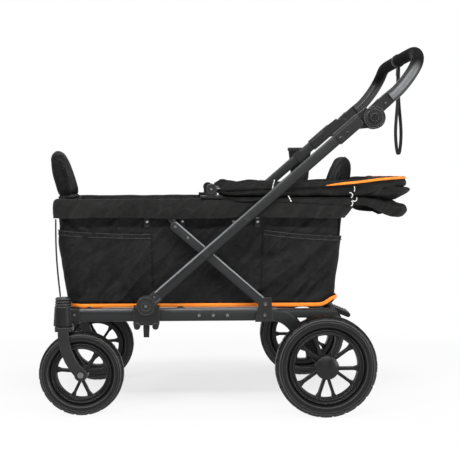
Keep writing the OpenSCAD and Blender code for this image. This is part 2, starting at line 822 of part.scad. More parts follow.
// The two ends of the rim, each a cross tube with two bends
module rim_end_tubes() {
  bend_r = rim_corner_r - rim_tube_in;
  end_x = rim_len / 2 - rim_corner_r;
  color("gray") for (s = [-1, 1]) translate([tub_x, 0, rim_tube_z]) {
    translate([s * (rim_len / 2 - rim_tube_in), 0, 0]) rotate([90, 0, 0])
      cylinder(d = rim_tube_d, h = 2 * (rim_out - rim_corner_r), center = true);
    for (q = [-1, 1]) translate([s * end_x, q * (rim_out - rim_corner_r), 0])
      rotate(s > 0 ? (q > 0 ? 0 : -90) : (q > 0 ? 90 : 180)) rotate_extrude(angle = 90)
        translate([bend_r, 0]) circle(d = rim_tube_d);
  }
}

// Padded band over the rim tubes: an outer skirt, a roof and a short inner skirt
module rim_cover() {
  color("#2b2b2c") difference() {
    translate([0, 0, rim_z]) linear_extrude(rim_h) plan_rim(0);
    translate([0, 0, rim_z - 1]) linear_extrude(rim_h + 2) plan_rim(rim_t);
    translate([0, 0, rim_z - 1]) linear_extrude(rim_h - rim_roof + 1) difference() {
      plan_rim(cloth_t);
      plan_rim(rim_t - cloth_t);
    }
    translate([0, 0, rim_z - 1]) linear_extrude(rim_h - rim_inner_drop + 1) plan_rim(rim_t - cloth_t - 1);
    both_sides() pin_y(rim_p, rim_out - rim_t, rim_out + 1, pivot_d + 4);
  }
}

// Plates under the rim tubes with the pivot of the push arm and of the link
module arm_brackets() {
  plate_in = brace_in + 1;
  plate_out = plate_in + 6;
  color("#3a3a3c") both_sides() difference() {
    union() {
      slab(plate_in, plate_out) bar_2d(rim_p, [rim_p[0], rim_tube_z], 28);
      slab(plate_in, plate_out) bar_2d(link_top_p, [link_top_p[0], rim_tube_z], 18);
      slab(plate_in, plate_out) translate([link_top_p[0], rim_tube_z - rim_tube_d / 2 - 8])
        square([rim_p[0] - link_top_p[0], 8]);
      pin_y(rim_p, plate_out - 1, push_out + 1, pivot_d);
      pin_y(rim_p, push_out + head_gap, push_out + 3, pivot_d + 9);
      pin_y(link_top_p, link_out + 0.5, plate_in + 1, 8);
    }
    translate([link_top_p[0] - 40, rim_tube_y, rim_tube_z]) rotate([0, 90, 0])
      cylinder(d = rim_tube_d + 2 * seat, h = rim_p[0] - link_top_p[0] + 80);
    translate([link_top_p[0] - 40, plate_in - 1, rim_tube_z])
      cube([rim_p[0] - link_top_p[0] + 80, plate_out - plate_in + 2, 40]);
  }
}

// Canopy

// Foot of the canopy on the rim: base, two lugs and the pin of the three bows
module canopy_pivots() {
  inner = bow_y - (bow_count - 1) * bow_step - eye_t / 2 - 1;
  outer = bow_y + eye_t / 2 + 1;
  color("#1c1c1e") both_sides() {
    translate([canopy_x - 32, inner - 5, rim_top]) cube([64, rim_out - inner + 5, 8]);
    for (span = [[inner - 5, inner], [outer, rim_out]]) slab(span[0], span[1]) {
      translate(canopy_p) circle(d = 32);
      translate([canopy_x - 14, rim_top + 4]) square([28, canopy_rise - 4]);
    }
    pin_y(canopy_p, inner - 1, outer + 1, canopy_pin_d);
  }
}

// The frame of a folded bow: X runs to the rear from the pivot
module bow_frame(k) {
  translate([canopy_p[0], 0, canopy_p[1]]) rotate([0, -bow_fan * (bow_count - k), 0]) children();
}

// U-shaped bow number k of three, the first the longest, with an eye on each leg
module canopy_bow(k) {
  y = bow_y - (k - 1) * bow_step;
  reach = bow_len - (k - 1) * bow_step;
  r = bow_corner_r - (k - 1) * bow_step;
  leg_start = eye_d / 2 - 3;
  color("#5a5a5c") bow_frame(k) difference() {
    union() {
      both_sides() {
        translate([0, y - eye_t / 2, 0]) rotate([-90, 0, 0]) cylinder(d = eye_d, h = eye_t);
        translate([leg_start, y, 0]) rotate([0, 90, 0]) cylinder(d = bow_d, h = reach - r - leg_start);
        translate([reach - r, y - r, 0]) rotate_extrude(angle = 90) translate([r, 0]) circle(d = bow_d);
      }
      translate([reach, 0, 0]) rotate([90, 0, 0]) cylinder(d = bow_d, h = 2 * (y - r), center = true);
    }
    both_sides() translate([0, y - eye_t / 2 - 1, 0]) rotate([-90, 0, 0])
      cylinder(d = canopy_pin_d + run, h = eye_t + 2);
  }
}

module canopy_bow_1() { canopy_bow(1); }
module canopy_bow_2() { canopy_bow(2); }
module canopy_bow_3() { canopy_bow(3); }

// Plan of a bow as [x, y, outward x, outward y], from the left leg round to the right
function bow_path(y, reach, r, start) = concat(
  [for (i = [0 : 10]) [start + (reach - r - start) * i / 10, -y, 0, -1]],
  [for (a = [18 : 18 : 72]) [reach - r + r * sin(a), -(y - r) - r * cos(a), sin(a), -cos(a)]],
  [for (i = [0 : 8]) [reach, (y - r) * (i / 4 - 1), 1, 0]],
  [for (a = [72 : -18 : 18]) [reach - r + r * sin(a), (y - r) + r * cos(a), sin(a), cos(a)]],
  [for (i = [10 : -1 : 0]) [start + (reach - r - start) * i / 10, y, 0, 1]]
);

// Cloth gathered on bow number k: it hangs in folds, short above the rim and
// deeper behind the tub
module canopy_fold(k) {
  y = bow_y - (k - 1) * bow_step;
  reach = bow_len - (k - 1) * bow_step;
  r = bow_corner_r - (k - 1) * bow_step;
  half_t = 2;
  sway = 2.6;
  steps = 6;
  tilt = bow_fan * (bow_count - k);
  rim_end = tub_x + rim_len / 2 - canopy_x;
  path = bow_path(y, reach, r, 46);
  rings = [
    for (i = [0 : len(path) - 1])
      let (
        p = path[i],
        room = canopy_rise + p[0] * sin(tilt) - bow_d / 2 - 3,
        behind = min(1, max(0, (p[0] - rim_end - 45) / 40)),
        drop = room + behind * (50 + 6 * sin(i * 70 + k * 40))
      ) concat(
        [for (j = [0 : steps]) fold_point(p, j / steps, drop, half_t, sway, i, k)],
        [for (j = [steps : -1 : 0]) fold_point(p, j / steps, drop, -half_t, sway, i, k)]
      )
  ];
  color("#2b2b2c") bow_frame(k) loft(rings);
}

// A point of the hanging cloth: f runs from the bow (0) down to the lower edge (1)
function fold_point(p, f, drop, side, sway, i, k) =
  let (out = side + sway * sin(f * 400 + i * 25 + k * 90) * sqrt(f))
    [p[0] + out * p[2], p[1] + out * p[3], -bow_d / 2 - 0.4 - f * drop];

module canopy_fold_1() { canopy_fold(1); }
module canopy_fold_2() { canopy_fold(2); }
module canopy_fold_3() { canopy_fold(3); }

// Handle

// Plastic sleeve at the top of a push arm with the inner half of the hinge
module handle_sleeves() {
  sleeve_end = handle_along - sleeve_gap;
  sleeve_start = sleeve_end - sleeve_len;
  color("#1c1c1e") both_sides() difference() {
    union() {
      along_arm(sleeve_start) translate([0, push_y, 0])
        tube_x(sleeve_end - sleeve_start, push_t + 8, push_w + 8, push_t / 3 + 4);
      along_arm() slab(push_in - 4, push_y - 0.2) {
        translate([handle_along, -hinge_drop]) circle(d = hinge_d);
        polygon([[sleeve_end - 20, push_w / 2 + 3], [sleeve_end - 20, -push_w / 2 - 3],
                 [handle_along - 8, -hinge_drop - 28], [handle_along + 4, push_w / 2]]);
      }
      pin_y(handle_p, push_in, push_out + 1, 20);
      along_arm() for (d = [sleeve_start + 12, sleeve_start + 34])
        translate([d, push_out + 3, -4]) rotate([-90, 0, 0]) cylinder(d = 7, h = 2);
    }
    along_arm(sleeve_start - 1) translate([0, push_y, 0])
      tube_x(arm_tube_end - sleeve_start + 1 + seat, push_t + 2 * seat, push_w + 2 * seat, push_t / 3);
    pin_y(handle_p, push_y + 1, push_out + 2, 12);
  }
}

// Outer half of the hinge and the neck that holds the grip
module hinge_shells() {
  shell_out = push_out + 4;
  color("#1c1c1e") both_sides() difference() {
    union() {
      along_arm() slab(push_y + 0.2, shell_out) translate([handle_along, -hinge_drop]) circle(d = hinge_d);
      along_arm() slab(push_in - 3, shell_out - 1) difference() {
        translate([handle_along, -hinge_drop])
          polygon([[8, hinge_d / 2], neck_end + [neck_lean - seat, neck_half],
                   neck_end - [neck_lean + seat, neck_half], [26, -4], [0, 0]]);
        translate([handle_along, -hinge_drop]) circle(d = hinge_d + 1.5);
      }
      along_arm() slab(push_y + 0.2, shell_out - 1) translate([handle_along, -hinge_drop])
        polygon([[8, hinge_d / 2], [neck_end[0] - 30, neck_end[1] + 20],
                 [neck_end[0] - 26, neck_end[1] - 18], [26, -4], [0, 0]]);
    }
    pin_y(handle_p, push_y - 1, push_out + 1.2, 20 + run);
    pin_y(handle_p, push_out - 1, shell_out + 1, button_d + 2 * loose);
    slab(shell_out - 1, shell_out + 1) translate(handle_p) difference() {
      circle(d = hinge_d - 8);
      circle(d = hinge_d - 12);
    }
  }
}

// Push buttons in the hinge, with a stem that slides in the hinge pin
module hinge_button() {
  color("#0f0f10") {
    pin_y(handle_p, push_out + 5, push_out + 8, button_d);
    pin_y(handle_p, push_out + 8, push_out + 9, button_d - 8);
    pin_y(handle_p, push_y + 6, push_out + 6, 12 - run);
  }
}

module left_button() { on_side(-1) hinge_button(); }
module right_button() { on_side(1) hinge_button(); }

// Point and direction of a smooth curve (uniform cubic) over its control points
function curve_point(c, i, t) =
  (pow(1 - t, 3) * c[i] + (3 * t * t * t - 6 * t * t + 4) * c[i + 1]
   + (-3 * t * t * t + 3 * t * t + 3 * t + 1) * c[i + 2] + t * t * t * c[i + 3]) / 6;
function curve_way(c, i, t) =
  let (d = -(1 - t) * (1 - t) * c[i] + (3 * t * t - 4 * t) * c[i + 1]
       + (-3 * t * t + 2 * t + 1) * c[i + 2] + t * t * c[i + 3]) d / norm(d);

// Rings of a round tube along the curve
function tube_rings(c, d, steps, sides) = [
  for (i = [0 : len(c) - 4], s = [0 : (i == len(c) - 4 ? steps : steps - 1)])
    let (
      at = curve_point(c, i, s / steps),
      way = curve_way(c, i, s / steps),
      ref = [0.95, 0, -0.31],
      flat = ref - (ref * way) * way,
      n = flat / norm(flat),
      b = cross(way, n)
    ) [for (j = [0 : sides - 1]) at + d / 2 * (cos(j * 360 / sides) * n + sin(j * 360 / sides) * b)]
];

// One padded tube from hinge to hinge
module handlebar() {
  color("#141415") loft(tube_rings(grip_controls, grip_d, 3, 20));
}

// Wrist strap: a collar on the grip bar, a short tail and a hanging loop
module wrist_strap() {
  strap_w = 18;
  collar_d = grip_d + 8;
  loop_w = 26;
  band_t = 3;
  loop_top = bar_p - [0, 0.45 * strap_len];
  loop_end = bar_p - [0, strap_len - loop_w / 2];
  color("#19191a") difference() {
    union() {
      pin_y(bar_p, -strap_w / 2 - 3, strap_w / 2 + 3, collar_d);
      slab(-strap_w / 2, strap_w / 2) difference() {
        union() {
          bar_2d(loop_top, loop_end, loop_w);
          translate([bar_p[0] - band_t, loop_top[1]]) square([2 * band_t, bar_p[1] - loop_top[1]]);
        }
        bar_2d(loop_top, loop_end, loop_w - 2 * band_t);
      }
    }
    pin_y(bar_p, -strap_w, strap_w, grip_d + 2 * loose);
  }
}

// Cup holder on the outside of the right arm: a tapered pouch and a clip
module cup_holder() {
  clip_at = 680;
  clip_len = 30;
  base_share = 0.74;
  wall = 4;
  cup_p = slider_p + clip_at * [ca, sa];
  cup_z = cup_p[1] - cup_h * 0.75;
  cup_y = push_out + 1.5 + cup_depth / 2;
  color("#242425") difference() {
    union() {
      along_arm(clip_at - clip_len / 2) translate([0, push_y, 0])
        tube_x(clip_len, push_t + 3, push_w + 7, push_t / 3 + 1.5);
      along_arm() slab(push_out + 1, push_out + 12) translate([clip_at, 0]) rrect(clip_len - 4, push_w, 6);
      translate([cup_p[0] + 6, cup_y, cup_z])
        linear_extrude(cup_h, scale = 1 / base_share, $fn = 40)
          scale(base_share) rrect(cup_w, cup_depth, cup_depth * 0.42);
    }
    along_arm(clip_at - clip_len) translate([0, push_y, 0])
      tube_x(2 * clip_len, push_t + 2 * seat, push_w + 2 * seat, push_t / 3 + seat);
    translate([cup_p[0] + 6, cup_y, cup_z + wall])
      linear_extrude(cup_h, scale = 1 / base_share, $fn = 40)
        scale(base_share) rrect(cup_w - 2 * wall, cup_depth - 2 * wall, cup_depth * 0.42 - wall);
  }
}

left_rail();
right_rail();
cross_members();
caster_housings();
caster_bearings();
brace_brackets();
rear_axle();
floor_board();
tub();
front_seat();
rear_seat();
front_seat_back();
rear_seat_back();
corner_straps();
frame_screws();
brake_pedal();
brake_bar();
left_fork();
right_fork();
left_front_axle();
right_front_axle();
left_front_tyre();
right_front_tyre();
left_front_rim();
right_front_rim();
left_rear_tyre();
right_rear_tyre();
left_rear_rim();
right_rear_rim();
left_hub_cap();
right_hub_cap();
brace_arms();
left_push_tube();
right_push_tube();
knuckle_discs();
handle_sleeves();
cross_bolts();
cup_holder();
sliders();
release_levers();
top_links();
rim_side_tubes();
rim_end_tubes();
rim_cover();
arm_brackets();
canopy_pivots();
handlebar();
hinge_shells();
left_button();
right_button();
canopy_bow_1();
canopy_bow_2();
canopy_bow_3();
canopy_fold_1();
canopy_fold_2();
canopy_fold_3();
front_headrest();
rear_headrest();
wrist_strap();
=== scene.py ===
"""Dressed model of a folding stroller wagon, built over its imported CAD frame."""
import json
import math

import bmesh
import bpy
from mathutils import Matrix, Vector, noise

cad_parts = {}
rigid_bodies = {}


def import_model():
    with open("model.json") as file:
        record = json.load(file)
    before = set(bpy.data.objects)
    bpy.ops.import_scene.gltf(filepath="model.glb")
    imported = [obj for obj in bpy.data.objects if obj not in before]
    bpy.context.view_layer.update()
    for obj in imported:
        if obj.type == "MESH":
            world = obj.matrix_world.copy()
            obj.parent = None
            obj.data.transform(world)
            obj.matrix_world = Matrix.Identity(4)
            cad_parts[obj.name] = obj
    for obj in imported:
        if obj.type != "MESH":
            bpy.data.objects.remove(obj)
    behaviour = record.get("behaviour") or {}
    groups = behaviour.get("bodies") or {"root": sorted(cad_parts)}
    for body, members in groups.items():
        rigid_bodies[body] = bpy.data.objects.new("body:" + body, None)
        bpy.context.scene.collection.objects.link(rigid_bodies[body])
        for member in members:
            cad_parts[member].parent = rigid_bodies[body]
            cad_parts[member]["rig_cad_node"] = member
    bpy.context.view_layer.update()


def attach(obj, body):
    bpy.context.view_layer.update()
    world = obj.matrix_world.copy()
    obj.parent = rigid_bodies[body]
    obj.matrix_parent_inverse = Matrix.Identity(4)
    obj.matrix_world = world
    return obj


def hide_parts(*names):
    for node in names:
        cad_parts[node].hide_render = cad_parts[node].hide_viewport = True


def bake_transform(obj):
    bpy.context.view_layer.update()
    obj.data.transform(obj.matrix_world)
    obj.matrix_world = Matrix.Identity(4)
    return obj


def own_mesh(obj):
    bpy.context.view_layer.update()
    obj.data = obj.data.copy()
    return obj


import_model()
cad = {o["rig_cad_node"]: o for o in bpy.context.scene.objects if "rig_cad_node" in o}


# Sizes shared with the part's source, in metres

TUB_X = -0.076
FLOOR_Z, TUB_TOP = 0.3215, 0.6094
FLOOR_X, TOP_X = 0.398, 0.422
FLOOR_Y, TOP_Y = 0.224, 0.2481
TUB_CORNER = 0.045
RIM_X, RIM_Y, RIM_CORNER = 0.445, 0.277, 0.062
RIM_Z, RIM_TOP = 0.58386, 0.64286
RIM_PIVOT_X = 0.04915
CANOPY_X, CANOPY_Z = -0.054, 0.66986
PIVOT = Vector((CANOPY_X, 0, CANOPY_Z))
BOW_Y, BOW_REACH, BOW_CORNER = 0.266, 0.562, 0.070
BOW_FAN = math.radians(1.5)
BOW_OPEN = math.radians(40)
PUSH_Y = 0.288
GRIP_START = Vector((0.46421, 0, 0.93607))
BAR = Vector((0.55221, 0, 1.07607))
ARM_ANGLE = math.radians(41)
SLIDER = Vector((-0.24519, 0, 0.33))
FOOT = Vector((0.105, 0, 0.33))
LINK = Vector((-0.15953, 0, 0.55995))
HANDLE = Vector((0.41896, 0, 0.87685))
SWIVEL_X = -0.491
REAR_AXLE = Vector((0.282, 0.300, 0.150))
FRONT_AXLE = Vector((-0.438, 0.243, 0.125))
STRAP_LONG = 0.302

SIDES = ((-1, "left"), (1, "right"))
ALONG, ACROSS, UP = Vector((1, 0, 0)), Vector((0, 1, 0)), Vector((0, 0, 1))


# Shader expressions


class Wire:
    """One shader socket; arithmetic on it adds Math nodes to its material."""

    def __init__(self, tree, socket):
        self.tree = tree
        self.socket = socket

    def add(self, kind, sockets, out=0, **settings):
        """A new node of any type: its settings first, then the values or links of its sockets."""
        node = self.tree.nodes.new(kind)
        for key, value in settings.items():
            setattr(node, key, value)
        for key, value in sockets.items():
            if isinstance(value, Wire):
                self.tree.links.new(value.socket, node.inputs[key])
            else:
                node.inputs[key].default_value = value
        return Wire(self.tree, node.outputs[out])

    def math(self, operation, *others):
        return self.add("ShaderNodeMath", dict(enumerate((self, *others))), operation=operation)

    def vector(self, operation, *others, out="Value"):
        sockets = dict(enumerate((self, *others)))
        return self.add("ShaderNodeVectorMath", sockets, out, operation=operation)

    def __add__(self, other):
        return self.math("ADD", other)

    def __mul__(self, other):
        return self.math("MULTIPLY", other)

    def __sub__(self, other):
        return self.math("SUBTRACT", other)

    def __truediv__(self, other):
        return self.math("DIVIDE", other)

    def __rsub__(self, other):
        return self.add("ShaderNodeMath", {0: other, 1: self}, operation="SUBTRACT")

    def __abs__(self):
        return self.math("ABSOLUTE")

    __radd__ = __add__
    __rmul__ = __mul__

    def sine(self):
        return self.math("SINE")

    def fraction(self):
        return self.math("FRACT")

    def whole(self):
        return self.math("FLOOR")

    def or_more(self, other):
        return self.math("MAXIMUM", other)

    def clipped(self):
        return self.add("ShaderNodeClamp", {0: self})

    def rise(self, low, high):
        """0 below low, 1 above high, smooth between."""
        sockets = {0: self, 1: low, 2: high}
        return self.add("ShaderNodeMapRange", sockets, interpolation_type="SMOOTHSTEP")

    def axis(self, index):
        return self.add("ShaderNodeSeparateXYZ", {0: self}, index)

    def facing(self):
        """The surface's own normal."""
        return self.add("ShaderNodeNewGeometry", {}, "Normal")

    def noise(self, scale, detail=2.0, rough=0.5):
        sockets = {"Vector": self, "Scale": scale, "Detail": detail, "Roughness": rough}
        return self.add("ShaderNodeTexNoise", sockets)

    def cells(self, scale):
        return self.add("ShaderNodeTexVoronoi", {"Vector": self, "Scale": scale})

    def mapped(self, kind, *values):
        return self.add("ShaderNodeMapping", {"Vector": self, kind: values})

    def stretched(self, x, y, z):
        return self.mapped("Scale", x, y, z)

    def moved(self, x, y, z):
        return self.mapped("Location", x, y, z)

    def turned(self, x, y, z):
        return self.mapped("Rotation", x, y, z)

    def ridges(self, scale, detail=1.0):
        """Sharp crests that wander over a surface: 1 on a crest, less to both sides."""
        return 1 - abs(self.noise(scale, detail) * 2 - 1)

    def along(self, x, y, z):
        """How far a point lies along a direction."""
        return self.vector("DOT_PRODUCT", (x, y, z))

    def stripes(self, way, pitch):
        """Even waves along a direction, from 0 to 1."""
        return (self.along(*way) * (math.tau / pitch)).sine() * 0.5 + 0.5

    def line(self, middle, half):
        """A raised line: 1 in its middle, 0 past its half width."""
        return (1 - abs(self - middle) / half).clipped()

    def bump(self, distance, normal=None, strength=1.0):
        """A normal from this value as a height, over another normal."""
        sockets = {"Strength": strength, "Distance": distance, "Height": self}
        if normal is not None:
            sockets["Normal"] = normal
        return self.add("ShaderNodeBump", sockets)

    def blend(self, low, high):
        """A colour between low and high, with this value as the share of high."""
        return self.add("ShaderNodeMix", {0: self, 6: low, 7: high}, 2, data_type="RGBA")


def tone(value, warm=0.0):
    return (value * (1 + warm), value, value * (1 - warm), 1.0)


def new_finish(name):
    material = bpy.data.materials.new(name)
    material.use_nodes = True
    tree = material.node_tree
    return material, Wire(tree, tree.nodes.new("ShaderNodeTexCoord").outputs["Object"])


def set_finish(material, colour, rough, height=None, depth=0.0002, normal=None, strength=1.0, **plain):
    """Links a finish to the material's shader; plain values go straight on its sockets."""
    shader = material.node_tree.nodes["Principled BSDF"]
    links = material.node_tree.links
    for name, value in {"Base_Color": colour, "Roughness": rough, **plain}.items():
        socket = shader.inputs[name.replace("_", " ")]
        if isinstance(value, Wire):
            links.new(value.socket, socket)
        else:
            socket.default_value = value
    if height is not None:
        normal = height.bump(depth, normal, strength)
    if normal is not None:
        links.new(normal.socket, shader.inputs["Normal"])
    return material


def round_edges(place, radius):
    """The normal with its edges rounded, and how near to an edge a point lies, most on upper edges: a mask
    for edge wear and a painted highlight.
    """
    soft = place.add("ShaderNodeBevel", {"Radius": radius}, samples=4)
    same = soft.vector("DOT_PRODUCT", place.facing())
    # Upward-facing edges get more of the mask: a painted highlight from above
    upper = (soft.axis(2) * 0.8 + 0.35).clipped()
    return soft, ((1 - same) * EDGE_SPREAD).clipped() * upper


# Finishes

# Pale tones: on paint and plastic edges partly wear and partly a painted highlight; on tyre rings and the
# grip's outer sides a painted highlight
PAINT_WEAR_AND_HIGHLIGHT, PLASTIC_WEAR_AND_HIGHLIGHT, RUBBER_RING_HIGHLIGHT, GRIP_SIDE_HIGHLIGHT = 0.28, 0.17, 0.125, 0.13
PAINT_ROUND, PLASTIC_ROUND, EDGE_SPREAD = 0.0036, 0.0030, 7
PEEL_SCALE, SPECK_SCALE = 1400, 900
SHOULDER_CUTS, CUT_SLANT = 30, 45
TAPE_RIB, TAPE_TWILL, TRIM_RIB = 0.0019, 0.0013, 0.0026
DUST = (0.045, 0.042, 0.038, 1)


def powder_coat(name, value, across, middle, half, far=None):
    """Satin powder coat on a tube: fine orange peel and smudges; a pale line under its upper edge is a
    painted highlight, and its pale edges are partly wear, partly painted highlight.

    Painted shade darkens its lower side and its top face. At its far end, which is given as a direction and a
    range along it, the painted highlight fades and the coat is rougher.
    """
    material, place = new_finish(name)
    smudge = place.noise(11, 3)
    peel = place.noise(PEEL_SCALE, 1)
    soft, edge = round_edges(place, PAINT_ROUND)
    off = place.along(*across) - Vector(across).dot(middle)
    above = off.or_more(0.0).math("MINIMUM", half)
    # Towards the far end the painted highlight fades and the coat gets rougher
    highlight_kept = 1 - place.along(*far[0]).rise(*far[1]) * 0.75 if far else 1.0
    swell = (above * above * -16).bump(1.0, soft)
    # A pale line just under the upper edge: a painted highlight
    top_highlight = off.rise(half - 0.0052, half - 0.0030) * (1 - off.rise(half - 0.0014, half - 0.0004))
    top_highlight = top_highlight * (0.65 + smudge * 0.5)
    # Darker on the lower side and on the top face: painted shade
    under = 1 - off.rise(-half, 0.006 - half * 0.5) + off.rise(half - 0.0010, half - 0.0002)
    colour = (smudge * 0.5).blend(tone(value * 0.75, -0.05), tone(value * 1.6, -0.06))
    colour = (under * 0.75).clipped().blend(colour, tone(value * 0.25, -0.04))
    colour = (top_highlight.or_more(edge * 0.75) * highlight_kept).clipped().blend(colour, tone(PAINT_WEAR_AND_HIGHLIGHT, -0.05))
    rough = 0.24 + smudge * 0.12 + peel * 0.05 + (1 - highlight_kept) * 0.35
    return set_finish(material, colour, rough, peel, 0.00005, swell, Specular_IOR_Level=0.36)


def moulded(name, value, rough=0.40, grain=1100, edge_gain=0.8):
    """Moulded plastic: a leathery grain, pale along its edges, partly wear and partly a painted highlight
    that is strongest on upper edges.
    """
    material, place = new_finish(name)
    pits = place.cells(grain)
    cloud = place.noise(23, 3)
    soft, edge = round_edges(place, PLASTIC_ROUND)
    colour = (cloud * 0.4).blend(tone(value * 0.7), tone(value * 2.2, 0.02))
    # Pale edges: partly wear, partly a painted highlight
    colour = (edge * edge_gain).blend(colour, tone(PLASTIC_WEAR_AND_HIGHLIGHT))
    rough = rough + cloud * 0.14 - edge * 0.1
    return set_finish(material, colour, rough, pits, 0.00007, soft, Specular_IOR_Level=0.27)


def zinc(name, value, rough=0.3):
    """Plated steel with fine turning marks and cloudy patches."""
    material, place = new_finish(name)
    marks = place.stretched(60, 2400, 60).noise(1, 2)
    cloud = place.noise(60, 2)
    colour = (cloud * 0.6 + marks * 0.3).clipped().blend(tone(value * 0.75), tone(value))
    return set_finish(material, colour, rough + marks * 0.2, marks, 0.00003, Metallic=1.0)


def rubber(name, axle, radius, width):
    """Tyre rubber: raised rings on the side walls, paler where they face up as a painted highlight; slanted
    shoulder cuts and a groove, painted darker as painted shade; dust in the tread.
    """
    material, place = new_finish(name)
    wheel = place.moved(-axle.x, 0, -axle.z)
    out = wheel.vector("MULTIPLY", (1, 0, 1), out="Vector").vector("LENGTH")
    turn = wheel.axis(2).math("ARCTAN2", wheel.axis(0))
    across = abs(abs(place.axis(1)) - axle.y)
    side = across.rise(width * 0.22, width * 0.36)
    rings = out.line(radius * 0.932, 0.0026)
    for share, wide in ((0.885, 0.0018), (0.795, 0.0024)):
        rings = out.line(radius * share, wide) * 0.6 + rings
    rings = rings * side
    groove = out.line(radius * 0.907, 0.0022) * side
    # Rings paler where they face up: a painted highlight
    upper = (place.facing().axis(2) * 0.6 + 0.5).clipped()
    slant = turn * (SHOULDER_CUTS / math.tau) + out * CUT_SLANT
    cuts = slant.fraction().rise(0.70, 0.77) * (1 - slant.fraction().rise(0.92, 0.99))
    cuts = cuts * out.rise(radius * 0.945, radius * 0.965)
    bloom = place.noise(34, 4, 0.6)
    speck = place.noise(SPECK_SCALE, 2)
    dust = (1 - side) * out.rise(radius - 0.004, radius - 0.0005) * bloom.rise(0.35, 0.7)
    colour = bloom.blend(tone(0.0030), tone(0.0085, 0.02))
    colour = (rings * upper).clipped().blend(colour, tone(RUBBER_RING_HIGHLIGHT))
    colour = (dust * 0.25).blend(colour, DUST)
    # Cuts and groove painted darker: painted shade in these recesses
    colour = (cuts * 0.6 + groove * 0.7).clipped().blend(colour, tone(0.0015))
    height = rings * 0.9 + speck * 0.06 - cuts - groove * 0.6
    rough = 0.30 + bloom * 0.18 - rings * 0.05
    return set_finish(material, colour, rough, height, 0.0014, strength=0.9, Specular_IOR_Level=0.25)


def woven(name, value, first, second, pitch=0.0011, heather=0.5, warm=0.02, crumple=1.0):
    """Plain weave along two directions, with heathered threads, slubs, cloudy patches and creases; the
    creases' crests are painted lighter, a painted highlight.
    """
    material, place = new_finish(name)
    sway = place.noise(45, 2) * 0.7
    warp = place.along(*first) / pitch + sway
    weft = place.along(*second) / pitch + sway
    over = ((warp.whole() + weft.whole()) * 0.5).fraction() * 2
    warp_ridge = (warp.fraction() * math.pi).sine()
    weft_ridge = (weft.fraction() * math.pi).sine()
    thread = over * warp_ridge + (1 - over) * weft_ridge
    slub = place.stretched(90, 90, 700).noise(1, 2) * 0.5 + place.stretched(700, 700, 90).noise(1, 2) * 0.5
    cloud = place.noise(7, 4, 0.6)
    leaning = place.turned(0.3, 0.8, 0.2).stretched(5, 6, 19).ridges(1)
    crossing = place.turned(-0.2, -0.7, 0.5).stretched(21, 7, 6).ridges(1)
    creases = leaning * 0.50 + crossing * 0.45 + place.ridges(30) * 0.14
    fold = creases.bump(0.026 * crumple)
    # Lighter crease crests: a painted highlight
    crest = (leaning.rise(0.90, 1.0) + crossing.rise(0.90, 1.0)) * 0.22
    mix = (slub.rise(0.35, 0.68) * heather + cloud * 0.45 + thread * 0.25 + crest - 0.18).clipped()
    colour = mix.blend(tone(value * 0.35, warm), tone(value * 2.1, warm))
    height = thread * 0.8 + slub * 0.5
    return set_finish(
        material, colour, 0.62 + cloud * 0.16 - thread * 0.05, height, 0.00020, fold, 0.8,
        Sheen_Weight=0.006, Sheen_Roughness=0.45, Specular_IOR_Level=0.11,
    )


def webbing(name, value, way):
    """Ribbed webbing: fine ribs across the strap and a twill along it."""
    material, place = new_finish(name)
    rib = place.stripes(way, TAPE_RIB)
    twill = place.stripes((0.9, 1.3, 1.1), TAPE_TWILL)
    cloud = place.noise(30, 3)
    colour = (rib * 0.4 + cloud * 0.4).clipped().blend(tone(value * 0.6), tone(value * 1.7))
    height = rib * 0.7 + twill * 0.3
    return set_finish(material, colour, 0.7 + cloud * 0.15, height, 0.00025, Sheen_Weight=0.05)


def leatherette(name, value):
    """Coated black grip with faint clouds: dull and darker on the cross bar, with a painted highlight on the
    outer sides of its arms.
    """
    material, place = new_finish(name)
    cloud = place.noise(16, 3)
    cross_bar = 1 - abs(place.axis(1)).rise(0.20, 0.275)
    bend = cross_bar.or_more(place.axis(2).rise(1.00, 1.05))
    # A pale patch on the outer sides of the arms: a painted highlight
    outer = abs(place.facing().axis(1)).rise(0.72, 0.98)
    outer = outer * abs(place.axis(1)).rise(0.286, 0.294) * (1 - bend) * (0.6 + cloud * 0.6)
    colour = (cloud * 0.7).clipped().blend(tone(value * 0.7), tone(value * 1.6, 0.03))
    # Darker and rougher on the cross bar
    colour = cross_bar.blend(colour, tone(value * 0.3))
    colour = outer.clipped().blend(colour, tone(GRIP_SIDE_HIGHLIGHT, -0.04))
    return set_finish(
        material, colour, 0.50 + cloud * 0.10 + cross_bar * 0.3, Specular_IOR_Level=0.06,
        Coat_Weight=1 - bend, Coat_Roughness=0.40, Coat_IOR=1.45,
    )


def bright_tape(name, deep, pale):
    """Bright braided trim: slanted ribs and slightly faded crowns."""
    material, place = new_finish(name)
    rib = place.stripes((1.0, 0.9, 0.35), TRIM_RIB)
    cloud = place.noise(38, 3)
    colour = (rib * 0.45 + cloud * 0.4).clipped().blend(deep, pale)
    return set_finish(material, colour, 0.6 + cloud * 0.15, rib, 0.0003, Sheen_Weight=0.08)


